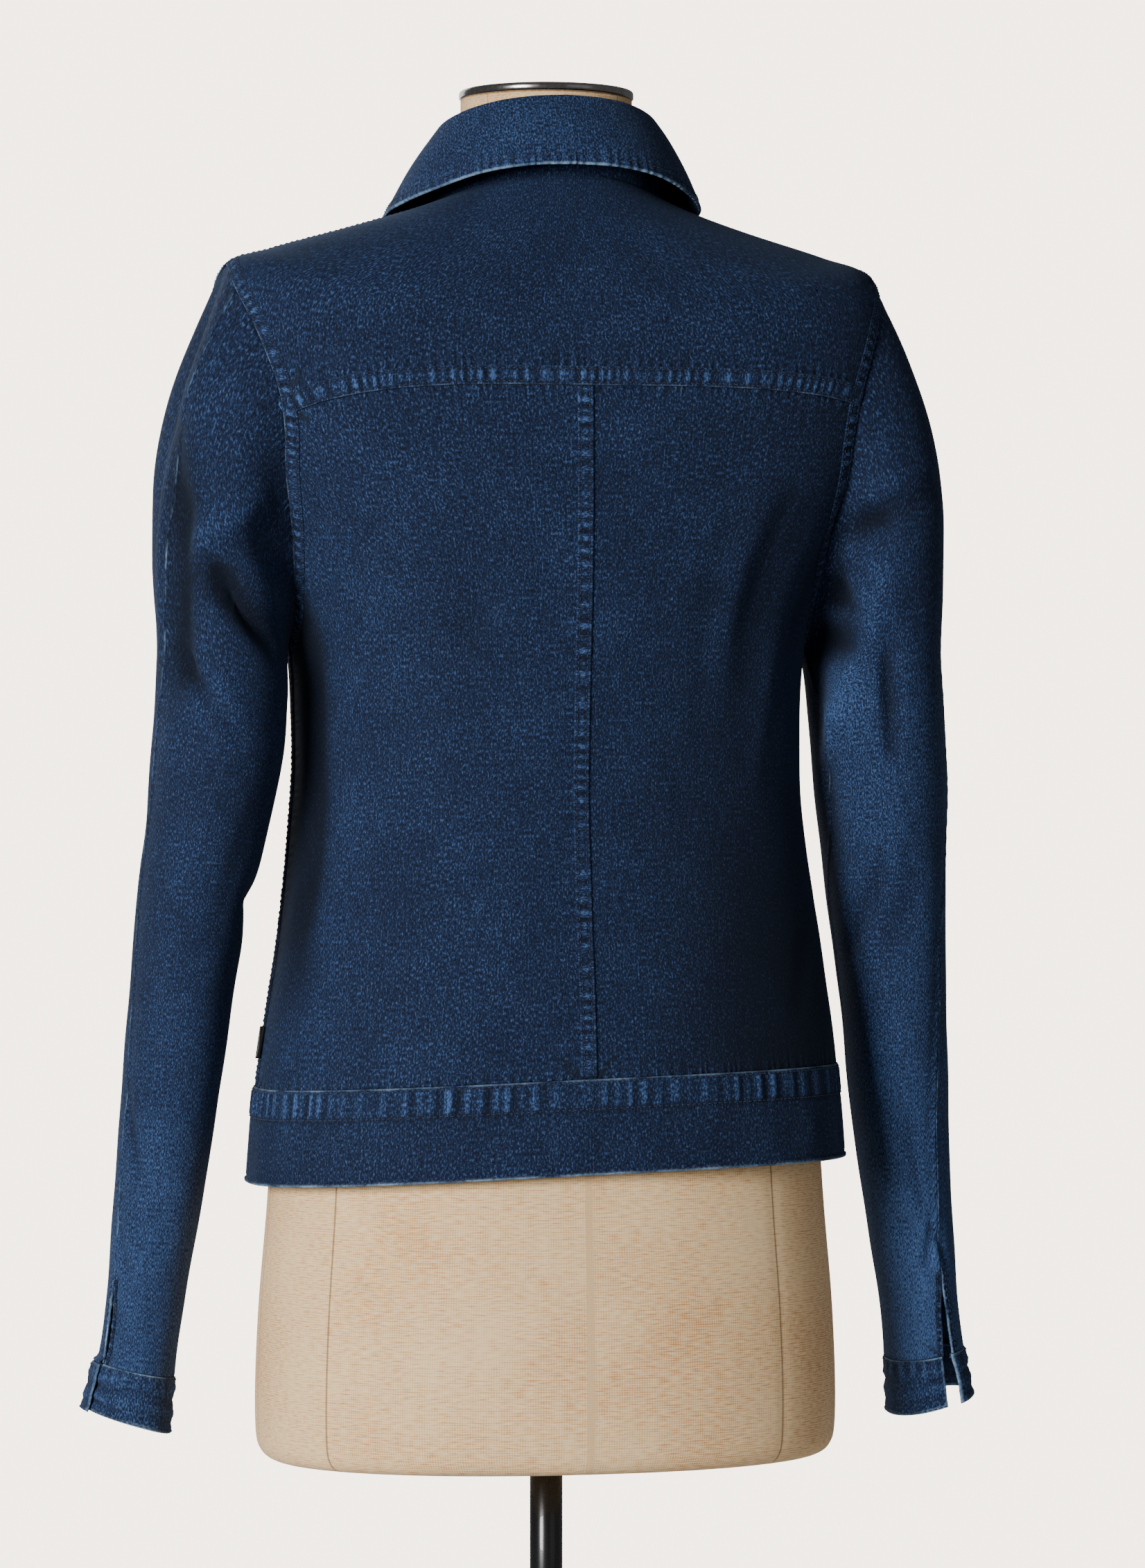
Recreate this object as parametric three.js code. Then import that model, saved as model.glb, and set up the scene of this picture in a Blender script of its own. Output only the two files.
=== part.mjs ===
// Denim jacket on a limbless dress form, in mm: +X the wearer's left, -Y the front, +Z up, origin on the
// floor at the centre of the base plate. The cloth is built on two surfaces that the tables below describe:
// the body, whose point is body(angle round from the centre back, row), and the sleeves.
import * as THREE from "three";

const WALL = 1.4; // one layer of cloth
const SEAM = 0.17; // half the space left between two pieces at a seam
const rad = Math.PI / 180;

// ---- small vector and table helpers ----
const add = (a, b, k = 1) => [a[0] + k * b[0], a[1] + k * b[1], a[2] + k * b[2]];
const sub = (a, b) => add(a, b, -1);
const cross = (a, b) => [a[1] * b[2] - a[2] * b[1], a[2] * b[0] - a[0] * b[2], a[0] * b[1] - a[1] * b[0]];
const length = (a) => Math.hypot(...a);
const unit = (a) => a.map((c) => c / (length(a) || 1));
const clamp = (x, lo = 0, hi = 1) => Math.min(hi, Math.max(lo, x));
const mix = (a, b, t) => a + (b - a) * t;
const ease = (a, b, x) => {
  const t = clamp((x - a) / (b - a));
  return t * t * (3 - 2 * t);
};

// A Catmull-Rom value of a table's column at row number v.
function column(table, name, v) {
  const last = table.length - 1;
  const i = Math.min(last - 1, Math.max(0, Math.floor(v)));
  const t = v - i;
  const at = (k) => table[clamp(k, 0, last)][name];
  const [a, b, c, d] = [at(i - 1), at(i), at(i + 1), at(i + 2)];
  return b + 0.5 * t * (c - a + t * (2 * a - 5 * b + 4 * c - d + t * (3 * (b - c) + d - a)));
}

// A value between the rows of a two-column list [[key, value], ...] with rising keys, eased between rows.
function lookup(rows, key) {
  if (key <= rows[0][0]) return rows[0][1];
  for (let i = 1; i < rows.length; i++)
    if (key <= rows[i][0])
      return mix(rows[i - 1][1], rows[i][1], ease(rows[i - 1][0], rows[i][0], key));
  return rows[rows.length - 1][1];
}

const rows = (names, list) => list.map((r) => Object.fromEntries(names.map((n, i) => [n, r[i]])));

// ---- the body: level sections, side / back / front heights, half width, depth behind and in front ----
const BODY = rows(
  ["name", "side", "back", "front", "half", "behind", "ahead", "power"],
  [
    ["hem", 495.5, 499, 499, 173, 118, 112, 2.3],
    ["band top", 550, 552.5, 553, 168.5, 115.5, 108, 2.3],
    ["hip", 600, 601, 601, 161, 110, 101, 2.3],
    ["high hip", 650, 650, 650, 154, 101, 95, 2.3],
    ["waist", 705, 705, 705, 148.5, 94, 92, 2.3],
    ["midriff", 755, 755, 755, 147, 96, 103, 2.35],
    ["armpit", 801, 801, 801, 150, 101, 114, 2.4],
    ["bust", 838, 836, 838, 159, 104, 118, 2.5],
    ["chest", 870, 866, 870, 171, 105.5, 116, 2.65],
    ["blades", 904, 900, 898, 185, 106, 108, 2.85],
    ["yoke", 940, 932, 925, 194, 105, 97, 3.0],
    ["upper arm", 980, 960, 948, 196, 102, 86, 3.0],
    ["shoulder", 1012, 984, 967, 187, 97, 78, 2.9],
    ["slope 1", 1022.5, 1003, 980, 160, 90.5, 73, 2.6],
    ["slope 2", 1034, 1025, 990, 120, 80, 69.5, 2.4],
    ["slope 3", 1043.5, 1046, 997, 88, 69.5, 67.5, 2.2],
    ["neck", 1050, 1063, 1003, 67, 61, 66, 2.05],
  ],
);
const R = Object.fromEntries(BODY.map((r, i) => [r.name, i]));

// A superellipse point: the angle runs from the back (+Y) round to the side (+X) and the front (180 degrees).
function ring(table, angle, v) {
  const s = Math.sin(angle * rad), c = Math.cos(angle * rad);
  const p = column(table, "power", v);
  const k = (Math.abs(s) ** p + Math.abs(c) ** p) ** (-1 / p);
  const side = column(table, "side", v);
  const centre = column(table, c > 0 ? "back" : "front", v);
  const depth = column(table, c > 0 ? "behind" : "ahead", v);
  return [column(table, "half", v) * k * s, depth * k * c, side + (centre - side) * c * c];
}

// The hem hangs lower on the wearer's left; the tilt fades out below the armpit.
const hang = (p) => [p[0], p[1], p[2] - 0.037 * p[0] * clamp((800 - p[2]) / 240)];

// Soft folds: a ridge (+) or trough (-) along a line from (a0, z0) to (a1, z1), angle in degrees, height in mm.
function folded(list, angle, z, radius) {
  let sum = 0;
  for (const [a0, z0, a1, z1, width, depth] of list) {
    const px = (angle - a0) * rad * radius, pz = z - z0;
    const dx = (a1 - a0) * rad * radius, dz = z1 - z0;
    const t = clamp((px * dx + pz * dz) / (dx * dx + dz * dz));
    const off = Math.hypot(px - t * dx, pz - t * dz);
    sum += depth * Math.exp(-((off / width) ** 2)) * (0.55 + 0.45 * Math.sin(Math.PI * t));
  }
  return sum;
}

const BODY_FOLDS = [
  // angle 0, height 0, angle 1, height 1, width, depth
  [28, 792, 21, 812, 13, -2.2],
  [-44, 870, -38, 760, 15, -2.0],
  [-33, 900, -30, 780, 16, 1.8],
  [-62, 880, -55, 780, 14, -2.0],
  [62, 800, 52, 700, 20, -1.8],
  [120, 810, 135, 860, 20, -2.4],
  [-120, 805, -138, 855, 22, -2.2],
  [70, 640, 58, 570, 20, 1.8],
  [-75, 650, -66, 575, 18, 1.8],
];

const bare = (angle, v) => hang(ring(BODY, angle, v));

function bodyNormal(angle, v) {
  const e = 0.6, h = 0.02;
  const da = sub(bare(angle + e, v), bare(angle - e, v));
  const dv = sub(bare(angle, Math.min(v + h, BODY.length - 1)), bare(angle, Math.max(v - h, 0)));
  return unit(cross(dv, da)); // up x (towards +X at the back) points out
}

// A point of the jacket's body, moved out by `out`.
function body(angle, v, out = 0, n = bodyNormal(angle, v)) {
  const p = bare(angle, v);
  const a = angle > 180 ? angle - 360 : angle;
  const fade = ease(R["shoulder"], R["upper arm"], v); // no folds where the cloth rests on the form
  return add(p, n, out + fade * folded(BODY_FOLDS, a, p[2], 150));
}

// The angle at row v where the body is x across, on the front.
function frontAngle(x, v) {
  let lo = 90, hi = 180;
  for (let i = 0; i < 40; i++) {
    const m = (lo + hi) / 2;
    if (bare(m, v)[0] > Math.abs(x)) lo = m;
    else hi = m;
  }
  return x < 0 ? 360 - lo : lo;
}

// ---- the armhole, drawn in side view: the sleeve's angle, y and z ----
const ARMHOLE = [
  [0, 3, 1012], [20, 32, 1003.5], [45, 59, 979], [70, 73, 946], [90, 73, 915], [115, 60, 878],
  [140, 40, 838], [160, 21, 811], [180, 0, 801], [200, -22, 810], [225, -45, 838], [250, -58, 878],
  [270, -61, 914], [295, -55, 950], [320, -39, 982], [342, -18, 1003.5],
];

// Where the body's surface holds the side-view point (y, z): [angle, row].
function onBody(y, z) {
  const rowAt = (angle) => {
    let lo = 3, hi = BODY.length - 1.001;
    for (let i = 0; i < 40; i++) {
      const m = (lo + hi) / 2;
      if (bare(angle, m)[2] < z) lo = m;
      else hi = m;
    }
    return lo;
  };
  let lo = 2, hi = 178;
  for (let i = 0; i < 40; i++) {
    const m = (lo + hi) / 2;
    if (bare(m, rowAt(m))[1] > y) lo = m;
    else hi = m;
  }
  return [lo, rowAt(lo)];
}

const HOLE = ARMHOLE.map(([psi, y, z]) => [psi, ...onBody(y, Math.min(z, 1011.9))]);

// The armhole's [angle, row] at the sleeve angle psi, round the closed loop.
function hole(psi) {
  const n = HOLE.length;
  const a = ((psi % 360) + 360) % 360;
  let i = n - 1;
  while (HOLE[i][0] > a) i--;
  const key = (k) => HOLE[((k % n) + n) % n][0] + 360 * Math.floor(k / n);
  const t = (a - key(i)) / (key(i + 1) - key(i));
  return [1, 2].map((c) => {
    const at = (k) => HOLE[((k % n) + n) % n][c];
    const [p, q, r, s] = [at(i - 1), at(i), at(i + 1), at(i + 2)];
    return q + 0.5 * t * (r - p + t * (2 * p - 5 * q + 4 * r - s + t * (3 * (q - r) + s - p)));
  });
}

// The armhole read the other way: sleeve angle and body angle at row v, behind or in front.
function holeTable(from, to) {
  const out = [];
  for (let i = 0; i <= 180; i++) {
    const psi = mix(from, to, i / 180);
    const [angle, v] = hole(psi);
    if (!out.length || v > out[out.length - 1][0] + 1e-6) out.push([v, angle, psi]);
  }
  return out;
}
const HOLE_BACK = holeTable(180, 0), HOLE_FRONT = holeTable(180, 360);

function holeAt(table, v, c) {
  if (v <= table[0][0]) return c === 1 ? 90 : 180;
  for (let i = 1; i < table.length; i++)
    if (v <= table[i][0])
      return mix(table[i - 1][c], table[i][c], (v - table[i - 1][0]) / (table[i][0] - table[i - 1][0]));
  return c === 1 ? 90 : table[table.length - 1][2];
}

// ---- the sleeves: level sections from the armpit down, for the wearer's left, mirrored for the right ----
const SLEEVE = rows(
  ["z", "x", "y", "across", "deep", "lean"],
  [
    [776, 191.2, 15.5, 36.4, 61, 0.34],
    [744, 193.2, 16, 36.2, 60.5, 0.2],
    [712, 196.4, 11.5, 35.4, 59.5, 0.1],
    [680, 200.4, 2.5, 33.7, 58, 0.05],
    [648, 204.4, -6, 31.9, 56, 0.02],
    [616, 208.2, -11.5, 30, 53, 0.02],
    [584, 211.5, -15.5, 28.6, 50, 0.02],
    [552, 214.4, -19, 27.6, 47.5, 0.02],
    [520, 217.6, -22.5, 26.6, 45, 0.03],
    [488, 221, -25, 25, 43, 0.04],
    [456, 224.9, -26.5, 23.2, 41, 0.06],
    [424, 228.8, -27, 21.6, 39.2, 0.09],
    [402, 231.6, -28, 21, 38.4, 0.13],
    [382, 234.2, -30, 21.6, 38, 0.2],
    [352, 238.5, -33.5, 23.8, 38.6, 0.3],
  ],
);
const CUFF_ROW = 13, CUFF_END = 14;

const SLEEVE_FOLDS = {
  left: [
    // sleeve angle 0, height 0, angle 1, height 1, width, depth
    [56, 850, 98, 876, 13, 5],
    [60, 838, 90, 822, 12, -9],
    [90, 822, 122, 804, 11, -7],
    [20, 912, 46, 845, 14, -3.5],
    [28, 791, 61, 766, 11, -3.5],
    [61, 780, 95, 752, 13, 3.5],
    [150, 650, 190, 640, 14, -3.5],
    [320, 800, 280, 780, 14, -5],
    [330, 690, 280, 650, 16, -4],
    [300, 560, 260, 590, 14, -3],
  ],
  right: [
    [30, 890, 122, 862, 12, -5.5],
    [132, 866, 138, 822, 14, -8],
    [112, 850, 104, 812, 13, 5],
    [101, 806, 102, 750, 11, -3.5],
    [118, 800, 165, 738, 13, 3.5],
    [95, 665, 118, 620, 14, -2.5],
    [318, 805, 275, 782, 14, -5],
    [335, 680, 275, 655, 16, -3.5],
    [250, 560, 290, 600, 14, -3],
  ],
};

function tube(psi, row) {
  const c = Math.cos(psi * rad), s = Math.sin(psi * rad);
  const k = (Math.abs(s) ** 2.15 + Math.abs(c) ** 2.15) ** (-1 / 2.15);
  const x = column(SLEEVE, "across", row) * k * c;
  const y = column(SLEEVE, "deep", row) * k * s;
  return [
    column(SLEEVE, "x", row) + x,
    column(SLEEVE, "y", row) + y,
    column(SLEEVE, "z", row) + column(SLEEVE, "lean", row) * x,
  ];
}

// t runs 0..1 from the armhole to the first section, then one unit a section.
function bareSleeve(psi, t) {
  if (t >= 1) return tube(psi, t - 1);
  const a = bare(...hole(psi));
  const b = tube(psi, 0);
  const down = unit(sub(tube(psi, 0.1), b));
  const far = length(sub(b, a));
  const c = Math.cos(psi * rad), s = Math.abs(Math.sin(psi * rad));
  const out = 0.22 + 0.5 * s;
  const m0 = [out * far, 0.12 * Math.sin(psi * rad) * far, -Math.sqrt(1 - out * out) * far];
  const t2 = t * t, t3 = t2 * t;
  const p = [0, 1, 2].map(
    (i) =>
      (2 * t3 - 3 * t2 + 1) * a[i] + (t3 - 2 * t2 + t) * m0[i] +
      (3 * t2 - 2 * t3) * b[i] + (t3 - t2) * down[i] * far,
  );
  p[0] += 8 * Math.max(0, c) ** 1.2 * Math.sin(Math.PI * t) ** 1.4; // the full sleeve head stands out
  return p;
}

function sleeveNormal(psi, t) {
  const e = 1, h = 0.02;
  const da = sub(bareSleeve(psi + e, t), bareSleeve(psi - e, t));
  const dt = sub(bareSleeve(psi, t + h), bareSleeve(psi, Math.max(t - h, 0)));
  return unit(cross(da, dt).map((c) => -c));
}

// The thickness direction where body and sleeve meet: halfway between their two normals.
function holeNormal(psi) {
  const [angle, v] = hole(psi);
  return unit(add(bodyNormal(angle, v), sleeveNormal(psi, 0)));
}

// Away from the armhole seam on the sleeve's side: halfway between the two cloths' own directions across it.
function holeShift(psi) {
  const [angle, v] = hole(psi);
  const along = sub(bare(...hole(psi + 1)), bare(...hole(psi - 1)));
  const across = unit(cross(along, bodyNormal(angle, v)));
  return unit(add(across, unit(sub(bareSleeve(psi, 0.02), bareSleeve(psi, 0)))));
}

function sleeve(side, psi, t, out = 0) {
  const p = bareSleeve(psi, t);
  const base = ((psi % 360) + 360) % 360;
  const fade = ease(0, 0.22, t);
  const n = sleeveNormal(psi, t);
  const nn = t < 0.12 ? unit(add(holeNormal(psi).map((c) => c * (1 - t / 0.12)), n, t / 0.12)) : n;
  return add(p, nn, out + fade * folded(SLEEVE_FOLDS[side], base, p[2], 46));
}

// ---- closed sheets ----
const group = new THREE.Group();
group.name = "denim_jacket_on_dress_form";

function mesh(name, points, faces, mirror = false) {
  const position = new Float32Array(points.length * 3);
  points.forEach((p, i) => position.set([mirror ? -p[0] : p[0], p[1], p[2]], i * 3));
  const at = (i) => points[i].map((c, k) => (mirror && k === 0 ? -c : c));
  let volume = 0;
  for (const [a, b, c] of faces) {
    const [p, q, r] = [at(a), at(b), at(c)];
    const n = cross(q, r);
    volume += p[0] * n[0] + p[1] * n[1] + p[2] * n[2];
  }
  const index = volume > 0 ? faces : faces.map(([a, b, c]) => [a, c, b]);
  const g = new THREE.BufferGeometry();
  g.setAttribute("position", new THREE.BufferAttribute(position, 3));
  g.setIndex(index.flat());
  const made = new THREE.Mesh(g, new THREE.MeshStandardMaterial());
  made.name = name;
  group.add(made);
}

// A sheet of cloth: `at(i, j, out)` gives the grid's point moved out; `outer` and `inner` are its two faces.
function sheet(name, us, vs, at, outer, inner, mirror = false) {
  const nu = us.length, nv = vs.length, points = [], faces = [];
  for (const out of [outer, inner]) for (const v of vs) for (const u of us) points.push(at(u, v, out));
  const id = (i, j, k) => k * nu * nv + j * nu + i;
  const quad = (a, b, c, d) => faces.push([a, b, c], [a, c, d]);
  for (let j = 0; j + 1 < nv; j++)
    for (let i = 0; i + 1 < nu; i++) {
      quad(id(i, j, 0), id(i + 1, j, 0), id(i + 1, j + 1, 0), id(i, j + 1, 0));
      quad(id(i, j, 1), id(i, j + 1, 1), id(i + 1, j + 1, 1), id(i + 1, j, 1));
    }
  for (let i = 0; i + 1 < nu; i++) {
    quad(id(i, 0, 0), id(i, 0, 1), id(i + 1, 0, 1), id(i + 1, 0, 0));
    quad(id(i, nv - 1, 0), id(i + 1, nv - 1, 0), id(i + 1, nv - 1, 1), id(i, nv - 1, 1));
  }
  for (let j = 0; j + 1 < nv; j++) {
    quad(id(0, j, 0), id(0, j + 1, 0), id(0, j + 1, 1), id(0, j, 1));
    quad(id(nu - 1, j, 0), id(nu - 1, j, 1), id(nu - 1, j + 1, 1), id(nu - 1, j + 1, 0));
  }
  mesh(name, points, faces, mirror);
}

const steps = (n, from = 0, to = 1) => Array.from({ length: n + 1 }, (_, i) => mix(from, to, i / n));

// Degrees that 0.17 mm takes up round the body at a point.
const gapAngle = (angle, v) => (SEAM * 2) / length(sub(bare(angle + 1, v), bare(angle - 1, v)));
// Rows that `mm` takes up along the body at a point.
const gapRow = (angle, v, mm = SEAM) => {
  const lo = Math.max(v - 0.05, 0), hi = Math.min(v + 0.05, BODY.length - 1);
  return (mm * (hi - lo)) / length(sub(bare(angle, hi), bare(angle, lo)));
};

// The sleeve angles at which body and sleeve share a corner of the armhole; the yoke seam ends at one of them.
const YOKE_END = { left: 86, right: 79 };
const knots = (side) => [180, 167, 153, 139, 124, 110, 97, YOKE_END[side], 68, 55, 42, 30, 18, 8, 0];
const FRONT_KNOTS = [180, 193, 207, 221, 236, 250, 264, 278, 291, 304, 317, 330, 343, 352, 360];
const SHOULDER_ROWS = [12.7, 13.4, 14.2, 15.1, 16];
const holeRow = (psi) => clamp(hole(psi)[1], R["armpit"], R["shoulder"]);
const YOKE_CENTRE = 10.27; // the yoke seam's row at the centre back
const yokeEdge = (side) => holeRow(YOKE_END[side]);

// The outer edge of a body piece at row v: the side seam, the armhole, then the shoulder seam.
const edgeAngle = (front, v) => holeAt(front ? HOLE_FRONT : HOLE_BACK, v, 1);

// A body point near an armhole or shoulder edge uses the seam's shared thickness direction.
function panelPoint(angle, v, out, front, onEdge) {
  const a = Math.abs(angle > 180 ? 360 - angle : angle);
  const sign = angle > 180 || angle < 0 ? -1 : 1;
  const table = front ? HOLE_FRONT : HOLE_BACK;
  const inHole = v > table[0][0] + 1e-3 && v < R["shoulder"] + 0.02;
  let n = bodyNormal(a, v);
  if (onEdge && inHole) {
    n = unit(add(n, sleeveNormal(holeAt(table, v, 2), 0)));
  }
  const p = body(sign > 0 ? a : -a, v, 0);
  const q = [sign * n[0], n[1], n[2]];
  return add(p, q, out);
}

// ---- panels ----
const LOW_ROWS = [1, 1.6, 2.2, 2.9, 3.6, 4.4, 5.2, 5.7];

// Row j of a list kept at the armhole's edge (s = 1); the rows even out between low and high towards s = 0.
const spread = (list, j, low, high, s) =>
  mix(mix(low, high, j / (list.length - 1)), list[j], Math.abs(s) ** 2.6);

function backPanel(name, side) {
  const knot = knots(side);
  const arm = knot.slice(0, knot.indexOf(YOKE_END[side]) + 1).map(holeRow);
  const list = [...LOW_ROWS, ...arm], last = list.length - 1;
  sheet(name, steps(9), [...list.keys()], (s, j, out) => {
    let v = spread(list, j, 1, YOKE_CENTRE, s);
    if (j === last) v -= gapRow(85 * s, v);
    if (j === 0) v += gapRow(85 * s, v, 0.35);
    const edge = edgeAngle(false, v);
    const cut = (s === 1 ? -1 : s === 0 ? 1 : 0) * gapAngle(edge * s, v);
    return panelPoint((side === "left" ? 1 : -1) * (edge * s + cut), v, out, false, s === 1);
  }, 0, -WALL);
}
backPanel("back_left", "left");
backPanel("back_right", "right");

// The yoke's rows count up from its seam: the same number of armhole corners on both sides.
sheet("back_yoke", steps(18, -1, 1), [...Array(13).keys()], (s, row, out) => {
  const side = s >= 0 ? "left" : "right";
  const list = knots(side);
  const arm = [...list.slice(list.indexOf(YOKE_END[side])).map(holeRow), ...SHOULDER_ROWS];
  let v = spread(arm, row, YOKE_CENTRE, R["neck"], s);
  if (row === 0) v += gapRow(80 * Math.abs(s), v);
  if (row === 12) v -= gapRow(90 * Math.abs(s), v - 0.02);
  const edge = edgeAngle(false, v);
  const angle = edge * Math.abs(s) - (Math.abs(s) === 1 ? gapAngle(edge, v) : 0);
  return panelPoint((s >= 0 ? 1 : -1) * angle, v, out, false, Math.abs(s) === 1);
}, 0.5, -WALL + 0.1);

const BAND = 15; // half the width of the front bands
const FRONT_ROWS = [...LOW_ROWS, ...FRONT_KNOTS.map(holeRow), ...SHOULDER_ROWS];

function frontPanel(name, side) {
  sheet(name, steps(8), [...FRONT_ROWS.keys()], (s, j, out) => {
    let v = spread(FRONT_ROWS, j, 1, R["neck"], 1 - s);
    if (j === 0) v += gapRow(120, v, 0.35);
    if (j === FRONT_ROWS.length - 1) v -= gapRow(120, v - 0.02);
    const edge = edgeAngle(true, v) + gapAngle(90, v);
    const centre = frontAngle(BAND + 2 * SEAM, v);
    const angle = mix(edge, centre, s);
    return panelPoint(side > 0 ? angle : 360 - angle, v, out, true, s === 0);
  }, 0, -WALL);
}
frontPanel("front_left", 1);
frontPanel("front_right", -1);

// The under band sits in the body's surface, the buttoned band lies over it.
const BAND_ROWS = [1, 2, 3, 4, 5, 6, 7, 8, 9, 10, 11, 12, 13, 14, 15, 16];
function frontBand(name, outer, inner) {
  sheet(name, steps(2, -BAND, BAND), BAND_ROWS, (x, v0, out) => {
    let v = v0;
    if (v0 === 1) v += gapRow(180, v, 0.35);
    if (v0 === 16) v -= gapRow(180, v - 0.02);
    const n = bodyNormal(180, v);
    const angle = x === 0 ? 180 : frontAngle(x, v);
    const p = body(angle, v, 0);
    return add([x, p[1], p[2]], n, out);
  }, outer, inner);
}
frontBand("front_band_under", 0, -WALL);
frontBand("front_band_over", 2.3, 0.5);

// ---- the waistband, in three lengths ----
function waistband(name, angles, lift) {
  sheet(name, angles, [0, 0.3, 0.7, 1], (angle, t, out) => {
    let v = t;
    if (t === 1) v -= gapRow(angle, 1, 0.1);
    const x = bare(angle, v)[0];
    return body(angle, v, out + lift(x));
  }, 0.9, -1.5);
}
const cutBack = gapAngle(90, 0.5);
waistband("waistband_back", steps(22, -90 + cutBack, 90 - cutBack), () => 0);
waistband("waistband_front_left", steps(12, 90 + cutBack, 180 + 6.2), () => 0);
waistband("waistband_front_right", [
  ...steps(9, 270 - cutBack, 198), 193, 190, 187, 183, 178, 174,
], (x) => 2.9 * ease(-34, -22, x));

// ---- the sleeves, two pieces each, and the cuffs ----
// The outer seam's angle by height, and the inner seam's; the vent opens the outer seam above the cuff.
const OUTER_SEAM = {
  left: [[352, 24], [382, 24], [440, 21], [530, 14], [661, 4], [730, 8], [850, 24], [960, 34]],
  right: [[352, 80], [382, 79], [430, 78], [500, 70], [613, 54], [700, 30], [800, 20], [960, 22]],
};
const INNER_SEAM = {
  left: [[352, 200], [500, 196], [700, 188], [801, 180]],
  right: [[352, 200], [500, 198], [640, 190], [700, 172], [760, 156], [785, 165], [801, 178]],
};
const VENT = { left: [[382, 3.0], [412, 2.2], [432, 0]], right: [[382, 6.5], [405, 4.0], [426, 0]] };

const CAP = [0, 0.05, 0.13, 0.23, 0.34, 0.46, 0.58, 0.71, 0.86];
const TUBE = [1, 1.7, 2.5, 3.3, 4.2, 5.3, 6.7, 8.3, 10, 11.8, 13, 14];
const seamHeight = (psi, t) => bareSleeve(psi, t)[2];

// The sleeve's columns start at the armhole's shared corners and even out by the first section.
const SEAM_KNOT = { left: 30, right: 18 };
function columns(side, under) {
  const back = knots(side).slice().reverse(); // 0 .. 180
  const cut = back.indexOf(SEAM_KNOT[side]);
  if (under) return back.slice(cut);
  return [...FRONT_KNOTS.map((a) => a - 360), ...back.slice(1, cut + 1)];
}

function sleevePiece(name, side, under) {
  const list = columns(side, under), last = list.length - 1;
  sheet(name, [...list.keys()], [...CAP, ...TUBE], (i, t0, out) => {
    let t = t0;
    if (t0 === 14) t -= 0.34 / 20;
    const z = seamHeight(90, t);
    const outer = mix(SEAM_KNOT[side], lookup(OUTER_SEAM[side], z), ease(0, 0.5, t));
    const inner = mix(180, lookup(INNER_SEAM[side], z), ease(0, 1, t));
    const half = (lookup(VENT[side], z) / 2 + 0.22) / 0.5; // mm to degrees on a radius of about 29 mm
    const [from, to] = under ? [outer + half, inner - 0.5] : [inner - 360 + 0.5, outer - half];
    const even = mix(from, to, i / last);
    const first = mix(from, to, (list[i] - list[0]) / (list[last] - list[0]));
    const psi = t0 === 0 ? clamp(list[i], from, to) : mix(first, even, ease(0, 1, t));
    const p = sleeve(side, psi, t, out);
    if (t0 === 0) return add(p, holeShift(psi), 2.4 * SEAM);
    return p;
  }, 0, -WALL, side === "right");
}
for (const side of ["left", "right"]) {
  sleevePiece("sleeve_under_" + side, side, true);
  sleevePiece("sleeve_upper_" + side, side, false);
}

// A cuff is a strip; the left one laps over its own end, the right one stands open at the vent.
function cuff(name, side) {
  const start = lookup(OUTER_SEAM[side], 382);
  const [from, to] = side === "left" ? [start - 14, start + 358] : [start + 9, start + 353];
  sheet(name, steps(26, from, to), [0, 0.5, 1], (psi, t, out) => {
    const row = mix(CUFF_ROW, CUFF_END, t) + (t === 0 ? 0.012 : 0);
    const lap = side === "left" ? 2.9 * ease(to - 60, to - 24, psi) : 3 * ease(to - 50, to, psi);
    const p = tube(psi, row);
    const n = unit(cross(sub(tube(psi + 2, row), tube(psi - 2, row)), [0, 0, -1]).map((c) => -c));
    return add(p, n, out + lap);
  }, 0.6, -1.4, side === "right");
}
cuff("cuff_left", "left");
cuff("cuff_right", "right");

// ---- the collar: a stand round the neck and a leaf that falls from the fold line ----
// share round from the centre back (0) to the front end (1): fold line and lower edge.
const COLLAR = rows(
  ["foldX", "foldY", "foldZ", "edgeX", "edgeY", "edgeZ"],
  [
    [0, 57.5, 1108, 0, 84.5, 1066],
    [20, 55.5, 1107, 26, 82.5, 1065],
    [39, 47, 1104.5, 52, 71.5, 1061],
    [55, 30, 1100, 74, 48, 1054],
    [63.5, 8, 1094, 88, 16, 1048.5],
    [63, -17, 1085, 92, -19, 1044.5],
    [54, -42, 1071, 91, -46, 1031],
    [38, -61, 1053, 84, -68, 1009],
    [21, -72, 1036, 71, -82, 986],
    [8, -76.5, 1024, 53, -88, 966],
  ],
);
const COLLAR_LAST = COLLAR.length - 1;
const collarAt = (s, which) => {
  const v = Math.abs(s) * COLLAR_LAST;
  const side = s < 0 ? -1 : 1;
  return [side * column(COLLAR, which + "X", v), column(COLLAR, which + "Y", v), column(COLLAR, which + "Z", v)];
};
function collarLeaf(s, t) {
  const a = collarAt(s, "fold"), b = collarAt(s, "edge");
  const p = [0, 1, 2].map((i) => mix(a[i], b[i], t));
  const away = unit([p[0], p[1] + 5, 0]);
  return add(p, away, 3.2 * Math.sin(Math.PI * clamp(t)) * (1 - 0.5 * t));
}
function normalOf(f, s, t, es = 0.01, et = 0.02) {
  const ds = sub(f(Math.min(s + es, 1), t), f(Math.max(s - es, -1), t));
  const dt = sub(f(s, Math.min(t + et, 1)), f(s, Math.max(t - et, 0)));
  return unit(cross(ds, dt));
}
sheet("collar_leaf", steps(28, -1, 1), [0, 0.2, 0.6, 1], (s, t, out) => {
  const n = normalOf(collarLeaf, s, t);
  const p = collarLeaf(s, t);
  const outwards = n[0] * p[0] + n[1] * (p[1] + 5) > 0 ? 1 : -1;
  return add(p, n, outwards * out);
}, 0.6, -1.4);

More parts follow.
